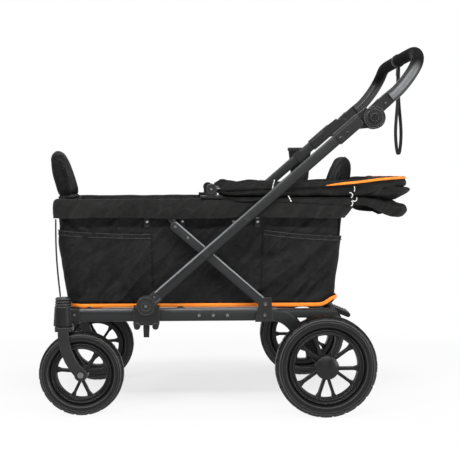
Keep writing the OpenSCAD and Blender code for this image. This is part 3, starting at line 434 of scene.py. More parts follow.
rail_paint = powder_coat(
    "rail_powder_coat", 0.012, (0, 0, 1), Vector((0, 0, 0.298)), 0.0195, ((1, 0, 0), (0.10, 0.22)),
)
arm_paint = powder_coat(
    "arm_powder_coat", 0.008, (-math.sin(ARM_ANGLE), 0, math.cos(ARM_ANGLE)), SLIDER, 0.0155,
    ((0, 0, 1), (0.46, 0.74)),
)
brace_paint = powder_coat("brace_powder_coat", 0.013, (0.6563, 0, 0.7547), FOOT, 0.0140)
black_plastic = moulded("black_plastic", 0.0065, 0.32)
joint_plastic = moulded("joint_plastic", 0.013, 0.32)
fork_plastic = moulded("fork_plastic", 0.016, 0.28, 800)
wheel_plastic = moulded("wheel_plastic", 0.004, 0.30, 1300, 0.5)
gloss_plastic = moulded("gloss_plastic", 0.008, 0.24, 1700, 0.5)
plated = zinc("plated_steel", 0.62)
screw_steel = zinc("screw_steel", 0.24, 0.22)
dark_steel = zinc("blackened_steel", 0.055, 0.26)
bow_metal = zinc("bow_metal", 0.16, 0.36)
rear_rubber = rubber("rear_tyre_rubber", REAR_AXLE, 0.150, 0.050)
front_rubber = rubber("front_tyre_rubber", FRONT_AXLE, 0.125, 0.045)
tub_cloth = woven("tub_weave", 0.0086, (1, 1, 0), (0, 0, 1), 0.0013, 0.55, 0.01)
rim_cloth = woven("rim_weave", 0.0098, (1, 1, 0), (0, 0.35, 1), 0.0012, 0.45, 0.02, 0.7)
pad_cloth = woven("pad_weave", 0.0034, (0.4, 1, 0.1), (0.7, 0, 1), 0.0015, 0.7, 0.03, 0.8)
seat_cloth = woven("seat_weave", 0.0140, (1, 0.1, 0.3), (0.1, 1, 0.3), 0.0015, 0.7, 0.03, 0.8)
canopy_cloth = woven("canopy_weave", 0.0095, (1, 0.8, 0), (0.1, 0.5, 1), 0.0010, 0.4, 0.02, 0.7)
mat_cloth = woven("floor_mat_weave", 0.016, (1, 0, 0), (0, 1, 0), 0.0016, 0.6, 0.02, 0.5)
pouch_cloth = woven("pouch_weave", 0.014, (1, 1, 0), (0, 0, 1), 0.0013, 0.5, 0.02, 0.7)
hem_tape = webbing("hem_tape", 0.016, (1, 1, 0))
strap_web = webbing("strap_webbing", 0.009, (0, 0, 1))
grip_skin = leatherette("grip_leatherette", 0.005)
orange_trim = bright_tape("orange_trim", (0.98, 0.20, 0.005, 1), (1.0, 0.33, 0.02, 1))
seam_tape = webbing("seam_tape", 0.034, (1, 1, 0))
white_cord = bright_tape("white_cord", (0.62, 0.62, 0.60, 1), (0.86, 0.86, 0.84, 1))


# Mesh helpers


def new_piece(name, bm, body, material, smooth=True):
    """A finished object at the origin from a bmesh, riding on a body."""
    bmesh.ops.recalc_face_normals(bm, faces=bm.faces[:])
    mesh = bpy.data.meshes.new(name)
    bm.to_mesh(mesh)
    bm.free()
    mesh.polygons.foreach_set("use_smooth", [smooth] * len(mesh.polygons))
    mesh.materials.append(material)
    piece = bpy.data.objects.new(name, mesh)
    bpy.context.collection.objects.link(piece)
    if body:
        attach(piece, body)
    return piece


def thicken(piece, thickness, offset=-1.0):
    wall = piece.modifiers.new("wall", "SOLIDIFY")
    wall.thickness = thickness
    wall.offset = offset
    return piece


def soften(piece):
    round_it = piece.modifiers.new("round", "SUBSURF")
    round_it.levels = 1
    round_it.render_levels = 1
    return piece


def bevel(bm, edges, offset, segments, clamp=False):
    """Rounds edges off."""
    bmesh.ops.bevel(
        bm, geom=edges, offset=offset, segments=segments, profile=0.5, affect="EDGES", material=-1,
        clamp_overlap=clamp,
    )


def slice_at(bm, spot, way):
    """Cuts every face along a plane, so that the cloth can bend there."""
    bmesh.ops.bisect_plane(bm, geom=bm.verts[:] + bm.edges[:] + bm.faces[:], plane_co=spot, plane_no=way)


def stations(points, up=UP, closed=False):
    """A matrix at each point of a path: local Z runs along it, local Y as near to up as it can."""
    count = len(points)
    placed = []
    for i, point in enumerate(points):
        if closed:
            ahead = points[(i + 1) % count] - points[i - 1]
        else:
            ahead = points[min(i + 1, count - 1)] - points[max(i - 1, 0)]
        ahead = ahead.normalized()
        side = up.cross(ahead).normalized()
        over = ahead.cross(side)
        turn = Matrix((side, over, ahead)).transposed().to_4x4()
        placed.append(Matrix.Translation(point) @ turn)
    return placed


def ring_of(bm, section, place):
    """A closed ring of edges from a section's points, in a station's plane."""
    verts = [bm.verts.new(place @ Vector((x, y, 0))) for x, y in section]
    return [bm.edges.new((a, b)) for a, b in zip(verts, verts[1:] + verts[:1])]


def pull(bm, ring, places, scales=None):
    """Extrudes a ring of edges from station to station; returns the last ring."""
    for i in range(1, len(places)):
        grown = bmesh.ops.extrude_edge_only(bm, edges=ring)["geom"]
        verts = [g for g in grown if isinstance(g, bmesh.types.BMVert)]
        new = set(verts)
        step = places[i] @ places[i - 1].inverted()
        if scales:
            share = scales[i] / scales[i - 1]
            step = places[i] @ Matrix.Diagonal((share, share, 1, 1)) @ places[i - 1].inverted()
        bmesh.ops.transform(bm, matrix=step, verts=verts)
        ring = [
            g for g in grown
            if isinstance(g, bmesh.types.BMEdge) and g.verts[0] in new and g.verts[1] in new
        ]
    return ring


def swept(section, points, closed=False, up=UP, scales=None, bm=None):
    """A bmesh of one section drawn along a path; a given bmesh is added to."""
    if bm is None:
        bm = bmesh.new()
    places = stations(points, up, closed)
    start = scales[0] if scales else 1.0
    first = ring_of(bm, [(x * start, y * start) for x, y in section], places[0])
    last = pull(bm, first, places, scales)
    if closed:
        bmesh.ops.bridge_loops(bm, edges=first + last)
    else:
        bmesh.ops.edgeloop_fill(bm, edges=first)
        bmesh.ops.edgeloop_fill(bm, edges=last)
    return bm


def strip(name, section, points, body, material, slot, **path):
    """A piece of one section drawn along a path."""
    return new_piece(name, swept(section, points, **path), body, material)


def arc(spot, wide, tall, start=0.0, turn=360.0, steps=40):
    """Points of an oval's arc in a side view, in degrees; a full turn leaves out its last point."""
    points = []
    for k in range(steps if turn == 360.0 else steps + 1):
        a = math.radians(start + turn * k / steps)
        points.append(spot + Vector((wide * math.cos(a), 0, tall * math.sin(a))))
    return points


def oval(width, height, count=10, power=1.0):
    """Points of an oval section; a power under 1 squares it."""
    points = []
    for i in range(count):
        a = math.tau * i / count
        c, s = math.cos(a), math.sin(a)
        points.append((
            math.copysign(abs(c) ** power, c) * width / 2,
            math.copysign(abs(s) ** power, s) * height / 2,
        ))
    return points


def plan_loop(half_x, half_y, corner, step=0.02, arc=8, z=0.0):
    """Points of a rounded rectangle round the tub's middle, clockwise seen from above."""
    points = []
    for sx, sy, start in ((1, 1, 90), (1, -1, 0), (-1, -1, -90), (-1, 1, 180)):
        middle = Vector((TUB_X + sx * (half_x - corner), sy * (half_y - corner), z))
        for k in range(arc + 1):
            a = math.radians(start - 90 * k / arc)
            points.append(middle + corner * Vector((math.cos(a), math.sin(a), 0)))
        run = 2 * ((half_y if sx * sy > 0 else half_x) - corner)
        cuts = max(1, round(run / step))
        way = Vector((0, -sx, 0)) if sx * sy > 0 else Vector((sy, 0, 0))
        last = points[-1]
        points += [last + way * run * k / cuts for k in range(1, cuts)]
    return points


def smooth_step(low, high, value):
    t = min(1.0, max(0.0, (value - low) / (high - low)))
    return t * t * (3 - 2 * t)


def bell(value, width):
    return math.exp(-((value / width) ** 2))


def ripple(point, scale, seed=0.0):
    return noise.noise(Vector((point.x * scale + seed, point.y * scale - seed, point.z * scale + 2.3 * seed)))


# Tub


def wall_share(z):
    return (z - FLOOR_Z) / (TUB_TOP - FLOOR_Z)


# Folds in the tub's sides: where each crosses, its slant, half length, width and depth
SIDE_FOLDS = (
    (-0.420, 0.385, 62, 0.090, 0.011, 0.0065),
    (-0.365, 0.360, 48, 0.070, 0.010, 0.0055),
    (-0.300, 0.352, -55, 0.060, 0.010, 0.0045),
    (-0.395, 0.480, 20, 0.080, 0.012, 0.0035),
    (-0.330, 0.430, 84, 0.085, 0.015, 0.0040),
    (-0.455, 0.555, -38, 0.050, 0.009, 0.0050),
    (-0.410, 0.560, -52, 0.045, 0.008, 0.0045),
    (0.262, 0.365, 48, 0.090, 0.010, 0.0070),
    (0.215, 0.360, 42, 0.100, 0.011, 0.0060),
    (0.170, 0.372, 50, 0.075, 0.010, 0.0045),
    (0.240, 0.440, 36, 0.120, 0.014, 0.0055),
    (0.140, 0.470, 30, 0.090, 0.014, 0.0045),
    (0.060, 0.480, -20, 0.070, 0.013, 0.0035),
    (0.020, 0.420, 66, 0.080, 0.014, 0.0030),
    (-0.120, 0.380, 80, 0.070, 0.016, 0.0030),
    (-0.060, 0.560, 12, 0.110, 0.010, 0.0030),
    (0.200, 0.575, 4, 0.110, 0.008, 0.0040),
    (-0.290, 0.572, -3, 0.110, 0.008, 0.0035),
)


# How far the cloth may hang in and stand out, how much less it stands out under the rim,
# and how far the folds of the right side are moved along
HANG_IN, STAND_OUT, LESS_OUT, RIGHT_SHIFT = 0.014, 0.0028, 0.0018, 0.018
# How much further out the front wall lies, and its belly
FRONT_OUT, FRONT_BELLY = 0.010, 0.009


def wall_fold(point, side_on):
    """How far the cloth lies inside its taut wall at a point."""
    share = wall_share(point.z)
    depth = 0.0048 * ripple(point, 6.0, 3.1) + 0.0026 * ripple(point, 17.0, 7.7) - 0.0020
    depth += 0.0010 * ripple(point, 44.0, 5.5)
    if side_on:
        shift = RIGHT_SHIFT if point.y > 0 else 0.0
        for x, z, slant, half, width, drop in SIDE_FOLDS:
            a = math.radians(slant)
            dx, dz = point.x - x - shift, point.z - z
            run = dx * math.cos(a) + dz * math.sin(a)
            off = -dx * math.sin(a) + dz * math.cos(a)
            off += 0.006 * math.sin(run * 30 + x * 40)
            depth -= 1.5 * drop * bell(off, width) * bell(run, half)
            depth += 0.6 * drop * bell(off - 1.7 * width, width) * bell(run, half)
    depth += 0.0012 * math.sin(point.x * 95 + point.y * 60) * smooth_step(0.72, 0.95, share)
    proud = STAND_OUT - LESS_OUT * smooth_step(0.78, 0.94, share)
    return max(-HANG_IN, min(proud, depth)) * smooth_step(0.0, 0.10, share)


def lean_out(point, share):
    """Moves a point of the floor's plan out to the leaning wall; the front end bulges a little more."""
    long = point.x - TUB_X
    front = FRONT_OUT * smooth_step(0.0, 0.06, share) + FRONT_BELLY * bell(share - 0.60, 0.20)
    front *= smooth_step(-0.25, -FLOOR_X, long)
    return Vector((
        TUB_X + long * (1 + (TOP_X / FLOOR_X - 1) * share) - front,
        point.y * (1 + (TOP_Y / FLOOR_Y - 1) * share), point.z,
    ))


def wall_point(run, z, sign, lift=0.0):
    """A point on the tub's outer face; run goes from its middle along a side and round the corner."""
    straight = FLOOR_X - TUB_CORNER
    turn = min(math.pi / 2, max(0.0, abs(run) - straight) / TUB_CORNER)
    end = math.copysign(1.0, run)
    out = Vector((end * math.sin(turn), sign * math.cos(turn), 0))
    middle = Vector((TUB_X + end * min(abs(run), straight), sign * (FLOOR_Y - TUB_CORNER), z))
    point = lean_out(middle + TUB_CORNER * out, wall_share(z))
    return point + out * (wall_fold(point, turn < 0.4) + lift)


TUB_WALL, FOOT_ROUND = 0.003, 0.012


def make_tub():
    """The tub's cloth: an open box with round corners, cut to a grid, leaning out and hung in folds."""
    bm = bmesh.new()
    tall = TUB_TOP - FLOOR_Z
    size = Matrix.Diagonal((2 * FLOOR_X, 2 * FLOOR_Y, tall, 1))
    bmesh.ops.create_cube(bm, size=1.0, matrix=Matrix.Translation((TUB_X, 0, FLOOR_Z + tall / 2)) @ size)
    bmesh.ops.delete(bm, geom=[f for f in bm.faces if f.normal.z > 0.5], context="FACES_ONLY")
    upright = [e for e in bm.edges if abs(e.verts[0].co.z - e.verts[1].co.z) > tall / 2]
    bevel(bm, upright, TUB_CORNER, 8)
    low = FLOOR_Z + 1e-4
    foot = [e for e in bm.edges if len(e.link_faces) == 2 and max(v.co.z for v in e.verts) < low]
    bevel(bm, foot, FOOT_ROUND, 3)
    for k in range(-30, 31):
        slice_at(bm, (TUB_X + 0.0115 * k, 0, 0), ALONG)
    for k in range(-12, 13):
        slice_at(bm, (0, 0.0145 * k, 0), ACROSS)
    for k in range(1, 23):
        slice_at(bm, (0, 0, FLOOR_Z + 0.0125 * k), UP)
    for v in bm.verts:
        share = wall_share(v.co.z)
        local = Vector((v.co.x - TUB_X, v.co.y, 0))
        core = Vector((
            math.copysign(max(0.0, abs(local.x) - FLOOR_X + TUB_CORNER), local.x),
            math.copysign(max(0.0, abs(local.y) - FLOOR_Y + TUB_CORNER), local.y), 0,
        ))
        side_on = abs(local.x) < FLOOR_X - TUB_CORNER * 0.6
        v.co = lean_out(v.co, share)
        if core.length > 0.02:
            v.co += core.normalized() * wall_fold(v.co, side_on)
        else:
            v.co.z += 0.0008 * ripple(v.co, 12.0)
    tub = thicken(new_piece("tub_cloth", bm, "base", tub_cloth), TUB_WALL)
    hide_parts("tub")
    fold_down(tub)


def fold_down(piece):
    """Gives a piece a mesh of its own."""
    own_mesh(piece)


# Side pockets: name, ends along the side from its middle, and heights of the hem there
POCKETS = (("front", (-0.408, -0.149), (0.549, 0.536)), ("rear", (0.169, 0.408), (0.548, 0.528)))
# Their foot above the floor, points along a hem, and the seam lines below the hem's edge
POCKET_FOOT, HEM_STEPS, SEAM_DROPS = 0.010, 156, (0.0000, 0.0120)
# Sag of the hem, least and added belly, and depth of the gathers
HEM_SAG, BELLY, MORE_BELLY, GATHER = 0.004, 0.0022, 0.0052, 0.0013


def pocket_point(share, t, ends, hems, sign, lift=0.0):
    """A point on a side pocket: share runs along it, t from its foot up to the slanted, sagging hem."""
    run = ends[0] + (ends[1] - ends[0]) * share
    foot = FLOOR_Z + POCKET_FOOT
    hem = hems[0] + (hems[1] - hems[0]) * share - HEM_SAG * math.sin(math.pi * share)
    edge = min(1.0, 9 * min(share, 1 - share))
    belly = BELLY + MORE_BELLY * edge * t ** 1.6 * (0.75 + 0.25 * math.sin(share * 9.0))
    gather = GATHER * math.sin(share * 80) * smooth_step(0.80, 1.0, t) * edge
    return wall_point(run, foot + (hem - foot) * t, sign, belly + gather + lift)


def make_pocket(name, ends, hems, sign):
    """A bellied panel on the tub's side with a bound hem and two lines of stitching."""
    bm = bmesh.new()
    bmesh.ops.create_grid(bm, x_segments=52, y_segments=30, size=0.5)
    for v in bm.verts:
        v.co = pocket_point(v.co.x + 0.5, v.co.y + 0.5, ends, hems, sign)
    panel = thicken(new_piece(name, bm, "base", tub_cloth), 0.0016, 0.0)
    fold_down(panel)
    tall = sum(hems) / 2 - FLOOR_Z - POCKET_FOOT

    def below_edge(drop, lift):
        shares = [k / HEM_STEPS for k in range(HEM_STEPS + 1)]
        return [pocket_point(share, 1 - drop / tall, ends, hems, sign, lift) for share in shares]

    section = oval(0.0032, 0.0140, 12, 0.45)
    hem = strip(name + "_hem", section, below_edge(0.0060, 0.0008), "base", tub_cloth, "tub_fabric")
    fold_down(soften(hem))
    for drop in SEAM_DROPS:
        seam = f"{name}_seam_{round(drop * 1000)}"
        section = oval(0.0016, 0.0021, 6)
        fold_down(strip(seam, section, below_edge(drop, 0.0032), "base", seam_tape, "tub_fabric"))


def make_pockets():
    for sign, side in SIDES:
        for end, ends, hems in POCKETS:
            make_pocket(f"{side}_{end}_pocket", ends, hems, sign)


# Foot piping: how far outside the tub's plan and above its floor, and its lift and lean at the rear end
PIPING_OUT, PIPING_UP, PIPING_LIFT, PIPING_LEAN = 0.0035, 0.0012, 0.020, 0.0045


def make_piping():
    """Bright piping in the seam round the tub's foot, lifted at the rear end."""
    loop = plan_loop(FLOOR_X + PIPING_OUT, FLOOR_Y + PIPING_OUT, TUB_CORNER, 0.012, 10)
    points = []
    for p in loop:
        end = smooth_step(FLOOR_X - 0.050, FLOOR_X - 0.004, p.x - TUB_X)
        z = FLOOR_Z + PIPING_UP + PIPING_LIFT * end
        lean = 1 + PIPING_LEAN * end
        points.append(Vector((TUB_X + (p.x - TUB_X) * lean, p.y * lean, z)))
    section = oval(0.0070, 0.0126, 10, 0.85)
    soften(strip("foot_piping", section, points, "base", orange_trim, "tub_fabric", closed=True))


# Snap tabs: places along the sides, height, height of their rings, and size
SNAP_X, SNAP_Z, SNAP_RING_Z = (-0.243, -0.140, 0.013, 0.083), 0.574, 0.5880
SNAP_SIZE = (0.015, 0.0028, 0.034, 1)


def make_snaps():
    """Webbing tabs with press studs and small rings that hold the cloth to the rim."""
    for sign, side in SIDES:
        bm = bmesh.new()
        studs = bmesh.new()
        turn = Matrix.Rotation(-sign * math.pi / 2, 4, "X")
        for x in SNAP_X:
            skin = wall_point(x - TUB_X, 0.577, sign).y
            place = Matrix.Translation((x, skin + sign * 0.0018, SNAP_Z))
            bmesh.ops.create_cube(bm, size=1.0, matrix=place @ Matrix.Diagonal(SNAP_SIZE))
            face = Matrix.Translation((x, skin + sign * 0.0032, SNAP_Z)) @ turn
            bmesh.ops.create_cone(
                studs, cap_ends=True, segments=20, radius1=0.0046, radius2=0.0040, depth=0.0016,
                matrix=face @ Matrix.Translation((0, 0, 0.0006)),
            )
            bmesh.ops.create_uvsphere(
                studs, u_segments=16, v_segments=8, radius=0.0030,
                matrix=face @ Matrix.Translation((0, 0, 0.0012)) @ Matrix.Diagonal((1, 1, 0.5, 1)),
            )
            ring = arc(Vector((x, skin + sign * 0.0040, SNAP_RING_Z)), 0.0066, 0.0038, steps=20)
            swept(oval(0.0022, 0.0022, 8), ring, closed=True, up=ACROSS, bm=studs)
        bevel(bm, bm.edges[:], 0.0009, 2)
        fold_down(new_piece(side + "_snap_tabs", bm, "base", strap_web, False))
        fold_down(new_piece(side + "_press_studs", studs, "base", plated))


# Rim

# The sleeve's section: how far out of the rim's outline, and how far above its lower edge
RIM_SECTION = (
    (-0.0012, 0.0000), (0.0000, 0.0020), (0.0004, 0.0050), (-0.0006, 0.0066), (0.0006, 0.0085),
    (0.0012, 0.0200), (0.0012, 0.0350), (0.0004, 0.0480), (-0.0026, 0.0548), (-0.0088, 0.0586),
    (-0.0175, 0.0596), (-0.0262, 0.0584), (-0.0330, 0.0540), (-0.0364, 0.0466), (-0.0370, 0.0370),
    (-0.0362, 0.0290), (-0.0350, 0.0268), (-0.0335, 0.0290), (-0.0332, 0.0400), (-0.0300, 0.0480),
    (-0.0230, 0.0530), (-0.0150, 0.0532), (-0.0080, 0.0500), (-0.0044, 0.0420), (-0.0034, 0.0250),
    (-0.0036, 0.0040), (-0.0028, 0.0004),
)


# Height and half length of the notch at a rim pivot, and the rear end's lean, setback and dip
NOTCH_TALL, NOTCH_HALF = 0.013, 0.012
REAR_LEAN, REAR_BACK, REAR_DIP = 0.032, 0.023, 0.007


def make_rim_cover():
    """The padded sleeve round the rim: sagging, notched at the rim's pivots, leaning back at its rear end."""
    loop = plan_loop(RIM_X, RIM_Y, RIM_CORNER, 0.011, 12, RIM_Z)
    bm = swept(RIM_SECTION, loop, closed=True)
    for v in bm.verts:
        rise = (v.co.z - RIM_Z) / (RIM_TOP - RIM_Z)
        outer = max(abs(v.co.x - TUB_X) - RIM_X, abs(v.co.y) - RIM_Y) > -0.006
        sag = 0.0026 * ripple(v.co, 9.0, 1.7) + 0.0016 * ripple(v.co, 27.0, 4.2)
        if outer:
            inward = max(0.0, 0.0011 + sag) * (0.4 + rise)
            if abs(v.co.x - TUB_X) < RIM_X - RIM_CORNER:
                v.co.y -= math.copysign(inward, v.co.y)
            elif abs(v.co.y) < RIM_Y - RIM_CORNER:
                v.co.x -= math.copysign(inward, v.co.x - TUB_X)
            v.co.z += (1 - rise) * NOTCH_TALL * bell(v.co.x - RIM_PIVOT_X, NOTCH_HALF) * (abs(v.co.y) > 0.26)
            v.co.z += (1 - rise) * 0.0018 * math.sin(v.co.x * 14)
        if rise > 0.8:
            v.co.z -= max(0.0, 0.0012 + 0.9 * sag)
        tail = smooth_step(RIM_X - 0.075, RIM_X - 0.010, v.co.x - TUB_X)
        v.co.x += tail * (REAR_LEAN * math.sin(rise * math.pi / 2) - REAR_BACK)
        v.co.z -= REAR_DIP * tail * rise ** 3
    cover = new_piece("rim_sleeve", bm, "top_frame", rim_cloth)
    soften(cover)
    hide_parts("rim_cover")


# Pads


def mesh_of(piece):
    """The piece's mesh with its modifiers applied."""
    graph = bpy.context.evaluated_depsgraph_get()
    return bpy.data.meshes.new_from_object(piece.evaluated_get(graph))


PAD_VOXEL, PAD_PRESSURE, PAD_FRAMES = 0.006, 4.0, 20


def plump(piece, cap):
    """Blows a pad up with the cloth simulation, each point moving no further than cap."""
    scene = bpy.context.scene
    cells = piece.modifiers.new("cells", "REMESH")
    cells.mode = "VOXEL"
    cells.voxel_size = PAD_VOXEL
    remeshed = mesh_of(piece)
    piece.modifiers.clear()
    piece.data = remeshed
    rest = [v.co.copy() for v in remeshed.vertices]
    cloth = piece.modifiers.new("cloth", "CLOTH")
    cloth.settings.use_pressure = True
    cloth.settings.uniform_pressure_force = PAD_PRESSURE
    cloth.settings.effector_weights.gravity = 0.0
    cloth.point_cache.frame_start = 1
    cloth.point_cache.frame_end = PAD_FRAMES
    for number in range(1, PAD_FRAMES + 1):
        scene.frame_set(number)
    blown = [v.co.copy() for v in mesh_of(piece).vertices]
    piece.modifiers.clear()
    for v, start, end in zip(piece.data.vertices, rest, blown):
        way = end - start
        v.co = start + way * min(1.0, cap / max(way.length, 1e-9))
    scene.frame_set(1)
    piece.data.polygons.foreach_set("use_smooth", [True] * len(piece.data.polygons))


def pad_block(width, height, thick, top_corner, foot_corner, edge):
    """A flat pad standing in its own frame: X thick, Y wide, Z tall, with round corners and edges."""
    bm = bmesh.new()
    bmesh.ops.create_cube(bm, size=1.0, matrix=Matrix.Diagonal((thick, width, height, 1)))
    for level, corner in ((1, top_corner), (-1, foot_corner)):
        through = [
            e for e in bm.edges
            if abs(e.verts[0].co.x - e.verts[1].co.x) > thick / 2 and e.verts[0].co.z * level > 0
            and abs(e.verts[0].co.y) > width / 2 - 1e-4
        ]
        bevel(bm, through, corner, 9, clamp=True)
    rim = [
        e for e in bm.edges
        if abs(e.verts[0].co.x - e.verts[1].co.x) < 1e-6 and abs(abs(e.verts[0].co.x) - thick / 2) < 1e-6
    ]
    bevel(bm, rim, edge, 4)
    for k in range(-9, 10):
        slice_at(bm, (0, width * k / 20, 0), ACROSS)
        slice_at(bm, (0, 0, height * k / 20), UP)
    slice_at(bm, (0, 0, 0), ALONG)
    return bm


def press_seams(piece, seams, depth, width):
    """Pulls a pad in along its seams; each seam gives a point's distance from it."""
    normals = [v.normal.copy() for v in piece.data.vertices]
    for v, normal in zip(piece.data.vertices, normals):
        pull_in = max(bell(seam(v.co), width) for seam in seams)
        v.co -= normal * depth * pull_in


def settle_pad(piece, turn, crease=0.0015):
    """Small creases, then the pad's place in the wagon."""
    normals = [v.normal.copy() for v in piece.data.vertices]
    for v, normal in zip(piece.data.vertices, normals):
        v.co += normal * crease * (ripple(v.co, 17.0, 2.0) + 0.5 * ripple(v.co, 43.0, 5.0))
    piece.data.transform(turn)
    piece.data.update()
    soften(piece)


# Headrests: end of the wagon, name, width, height, radius of the top corners, and lean in degrees
HEADRESTS = ((-1, "front", 0.268, 0.152, 0.122, 16), (1, "rear", 0.296, 0.134, 0.116, 14))
HEADREST_THICK, HEADREST_SEAM, WELT, HEM = 0.036, 0.024, 0.0046, 0.0098


def make_headrests():
    """Padded tongues at the two ends of the rim, each with a welt round its edge and a sewn outline."""
    for side, name, width, height, dome, lean in HEADRESTS:
        body = name + "_headrest"
        bm = pad_block(width, height, HEADREST_THICK, dome, 0.014, 0.0165)
        pad = new_piece(body + "_pad", bm, None, pad_cloth)
        plump(pad, 0.004)

        def from_edge(p):
            """How far a point lies inside the pad's outline."""
            over = p.z - height / 2 + dome
            reach = abs(p.y) - width / 2 + dome
            if over > 0 and reach > 0:
                return dome - math.hypot(over, reach)
            return min(width / 2 - abs(p.y), height / 2 - p.z)

        press_seams(pad, (lambda p: from_edge(p) - HEADREST_SEAM,), 0.0026, 0.0036)
        outline = [Vector((0, -width / 2, height * (k / 8 - 0.5))) for k in range(2)]
        for k in range(25):
            a = math.pi * k / 24
            reach = math.copysign(width / 2 - dome, -math.cos(a))
            outline.append(Vector((0, reach - dome * math.cos(a), height / 2 - dome + dome * math.sin(a))))
        outline += [Vector((0, width / 2, height * (k / 8 - 0.5))) for k in (1, 0)]
        # The welt follows the pad as the simulation left it
        gaps = [min((v.co - p).length for v in pad.data.vertices) for p in outline]
        middle = Vector((0, 0, -height / 2))
        for k, p in enumerate(outline):
            near = gaps[max(0, k - 2):k + 3]
            outline[k] = p + (middle - p).normalized() * (sum(near) / len(near))
        hem = Vector((TUB_X + side * (RIM_X - 0.022), 0, RIM_TOP + 0.0054))
        tip = Matrix.Rotation(side * math.radians(lean), 4, "Y")
        turn = Matrix.Translation(hem) @ tip @ Matrix.Translation((0, 0, height / 2 - 0.006))
        settle_pad(pad, turn, 0.0012)
        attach(pad, body)
        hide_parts(name + "_headrest")
        outline = [turn @ p for p in outline]
        section = oval(WELT, WELT, 8)
        soften(strip(body + "_welt", section, outline, body, pad_cloth, "pad_fabric", up=ALONG))
        line = [hem + Vector((0, -0.128 + 0.0128 * k, 0)) for k in range(21)]
        soften(strip(body + "_hem", oval(HEM, HEM, 12), line, body, pad_cloth, "pad_fabric"))
        seat = [Vector((hem.x + side * 0.001, -0.141 + 0.0141 * k, RIM_TOP - 0.0005)) for k in range(21)]
        ends = [0.55 + 0.45 * smooth_step(0, 2, min(k, 20 - k)) for k in range(21)]
        section = oval(0.0420, 0.0170, 16)
        gusset = strip(body + "_gusset", section, seat, "top_frame", rim_cloth, "pad_fabric", scales=ends)
        soften(gusset)


SEAT_LONG, SEAT_WIDE, SEAT_TALL, SEAT_X, SEAT_Z, SEAT_FOOT = 0.258, 0.388, 0.056, 0.244, 0.3708, 0.3364
BACK_WIDE, BACK_TALL, BACK_THICK, BACK_X, BACK_Z = 0.388, 0.188, 0.024, 0.3915, 0.509


def make_seats():
    """Seat cushions with sewn channels, and padded backs against the end walls."""
    lay = Matrix.Rotation(-math.pi / 2, 4, "Y")
    for side, name in ((-1, "front"), (1, "rear")):
        bm = pad_block(SEAT_WIDE, SEAT_LONG, SEAT_TALL, 0.030, 0.030, 0.020)
        seat = new_piece(name + "_seat_pad", bm, None, seat_cloth)
        plump(seat, 0.007)
        seams = [lambda p, at=at: p.z - at for at in (-0.062, 0.0, 0.062)]
        seams.append(lambda p: max(abs(p.y) - SEAT_WIDE / 2 + 0.030, abs(p.z) - SEAT_LONG / 2 + 0.030))
        press_seams(seat, seams, 0.0045, 0.0055)
        settle_pad(seat, Matrix.Translation((TUB_X + side * SEAT_X, 0, SEAT_Z)) @ lay)
        for v in seat.data.vertices:
            v.co.z = max(v.co.z, SEAT_FOOT)
        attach(seat, "base")
        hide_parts(name + "_seat")
        bm = pad_block(BACK_WIDE, BACK_TALL, BACK_THICK, 0.030, 0.020, 0.010)
        back = new_piece(name + "_back_pad", bm, None, pad_cloth)
        plump(back, 0.006)
        seams = [lambda p, at=at: p.y - at for at in (-0.097, 0.0, 0.097)]
        seams.append(lambda p: max(abs(p.y) - BACK_WIDE / 2 + 0.024, abs(p.z) - BACK_TALL / 2 + 0.022))
        press_seams(back, seams, 0.0035, 0.0045)
        tip = Matrix.Rotation(side * math.radians(4), 4, "Y")
        settle_pad(back, Matrix.Translation((TUB_X + side * BACK_X, 0, BACK_Z)) @ tip)
        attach(back, "base")
        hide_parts(name + "_seat_back")
        fold_down(back)


# Canopy

# Where the cloth starts on a bow's leg, and where the trim does
BOW_LEG, TRIM_START = 0.022, 0.285
# The cloth's reach to a side, and what it leaves free beside the cup strap and the handle sleeves
CLOTH_Y, CUP_ROOM, SLEEVE_ROOM = 0.2776, 0.0014, 0.0028
CLOTH_ROWS = 30


def bow_plan():
    """The longest bow seen from above, from the left leg round to the right: place and outward way."""
    plan = []
    straight = BOW_REACH - BOW_CORNER
    flat = BOW_Y - BOW_CORNER
    for k in range(43):
        plan.append((BOW_LEG + (straight - BOW_LEG) * k / 42, -BOW_Y, 0.0, -1.0))
    for k in range(1, 12):
        a = math.radians(7.5 * k)
        s, c = math.sin(a), math.cos(a)
        plan.append((straight + BOW_CORNER * s, -flat - BOW_CORNER * c, s, -c))
    for k in range(31):
        plan.append((BOW_REACH, flat * (k / 15 - 1), 1.0, 0.0))
    right = [(x, -y, nx, -ny) for x, y, nx, ny in plan[:54]]
    return plan + right[::-1]


PLAN = bow_plan()


def cloth_line(stops, count):
    """Evenly spaced points on a smooth line through (offset, height) stops."""
    fine = []
    for i in range(len(stops) - 1):
        before = stops[max(i - 1, 0)]
        after = stops[min(i + 2, len(stops) - 1)]
        for k in range(12):
            t = k / 12
            point = []
            for a, b, c, d in zip(before, stops[i], stops[i + 1], after):
                point.append(0.5 * (2 * b + (c - a) * t + (2 * a - 5 * b + 4 * c - d) * t ** 2
                                    + (3 * b - a - 3 * c + d) * t ** 3))
            fine.append(Vector(point))
    fine.append(Vector(stops[-1]))
    run = [0.0]
    for a, b in zip(fine, fine[1:]):
        run.append(run[-1] + (b - a).length)
    line = []
    k = 0
    for i in range(count):
        goal = run[-1] * i / (count - 1)
        while k < len(fine) - 2 and run[k + 1] < goal:
            k += 1
        share = (goal - run[k]) / max(run[k + 1] - run[k], 1e-9)
        line.append(fine[k].lerp(fine[k + 1], min(1.0, share)))
    return line, run[-1]


def mixed(first, second, share):
    """Two lists of points, blended pair by pair."""
    return [tuple(p + (q - p) * share for p, q in zip(a, b)) for a, b in zip(first, second)]


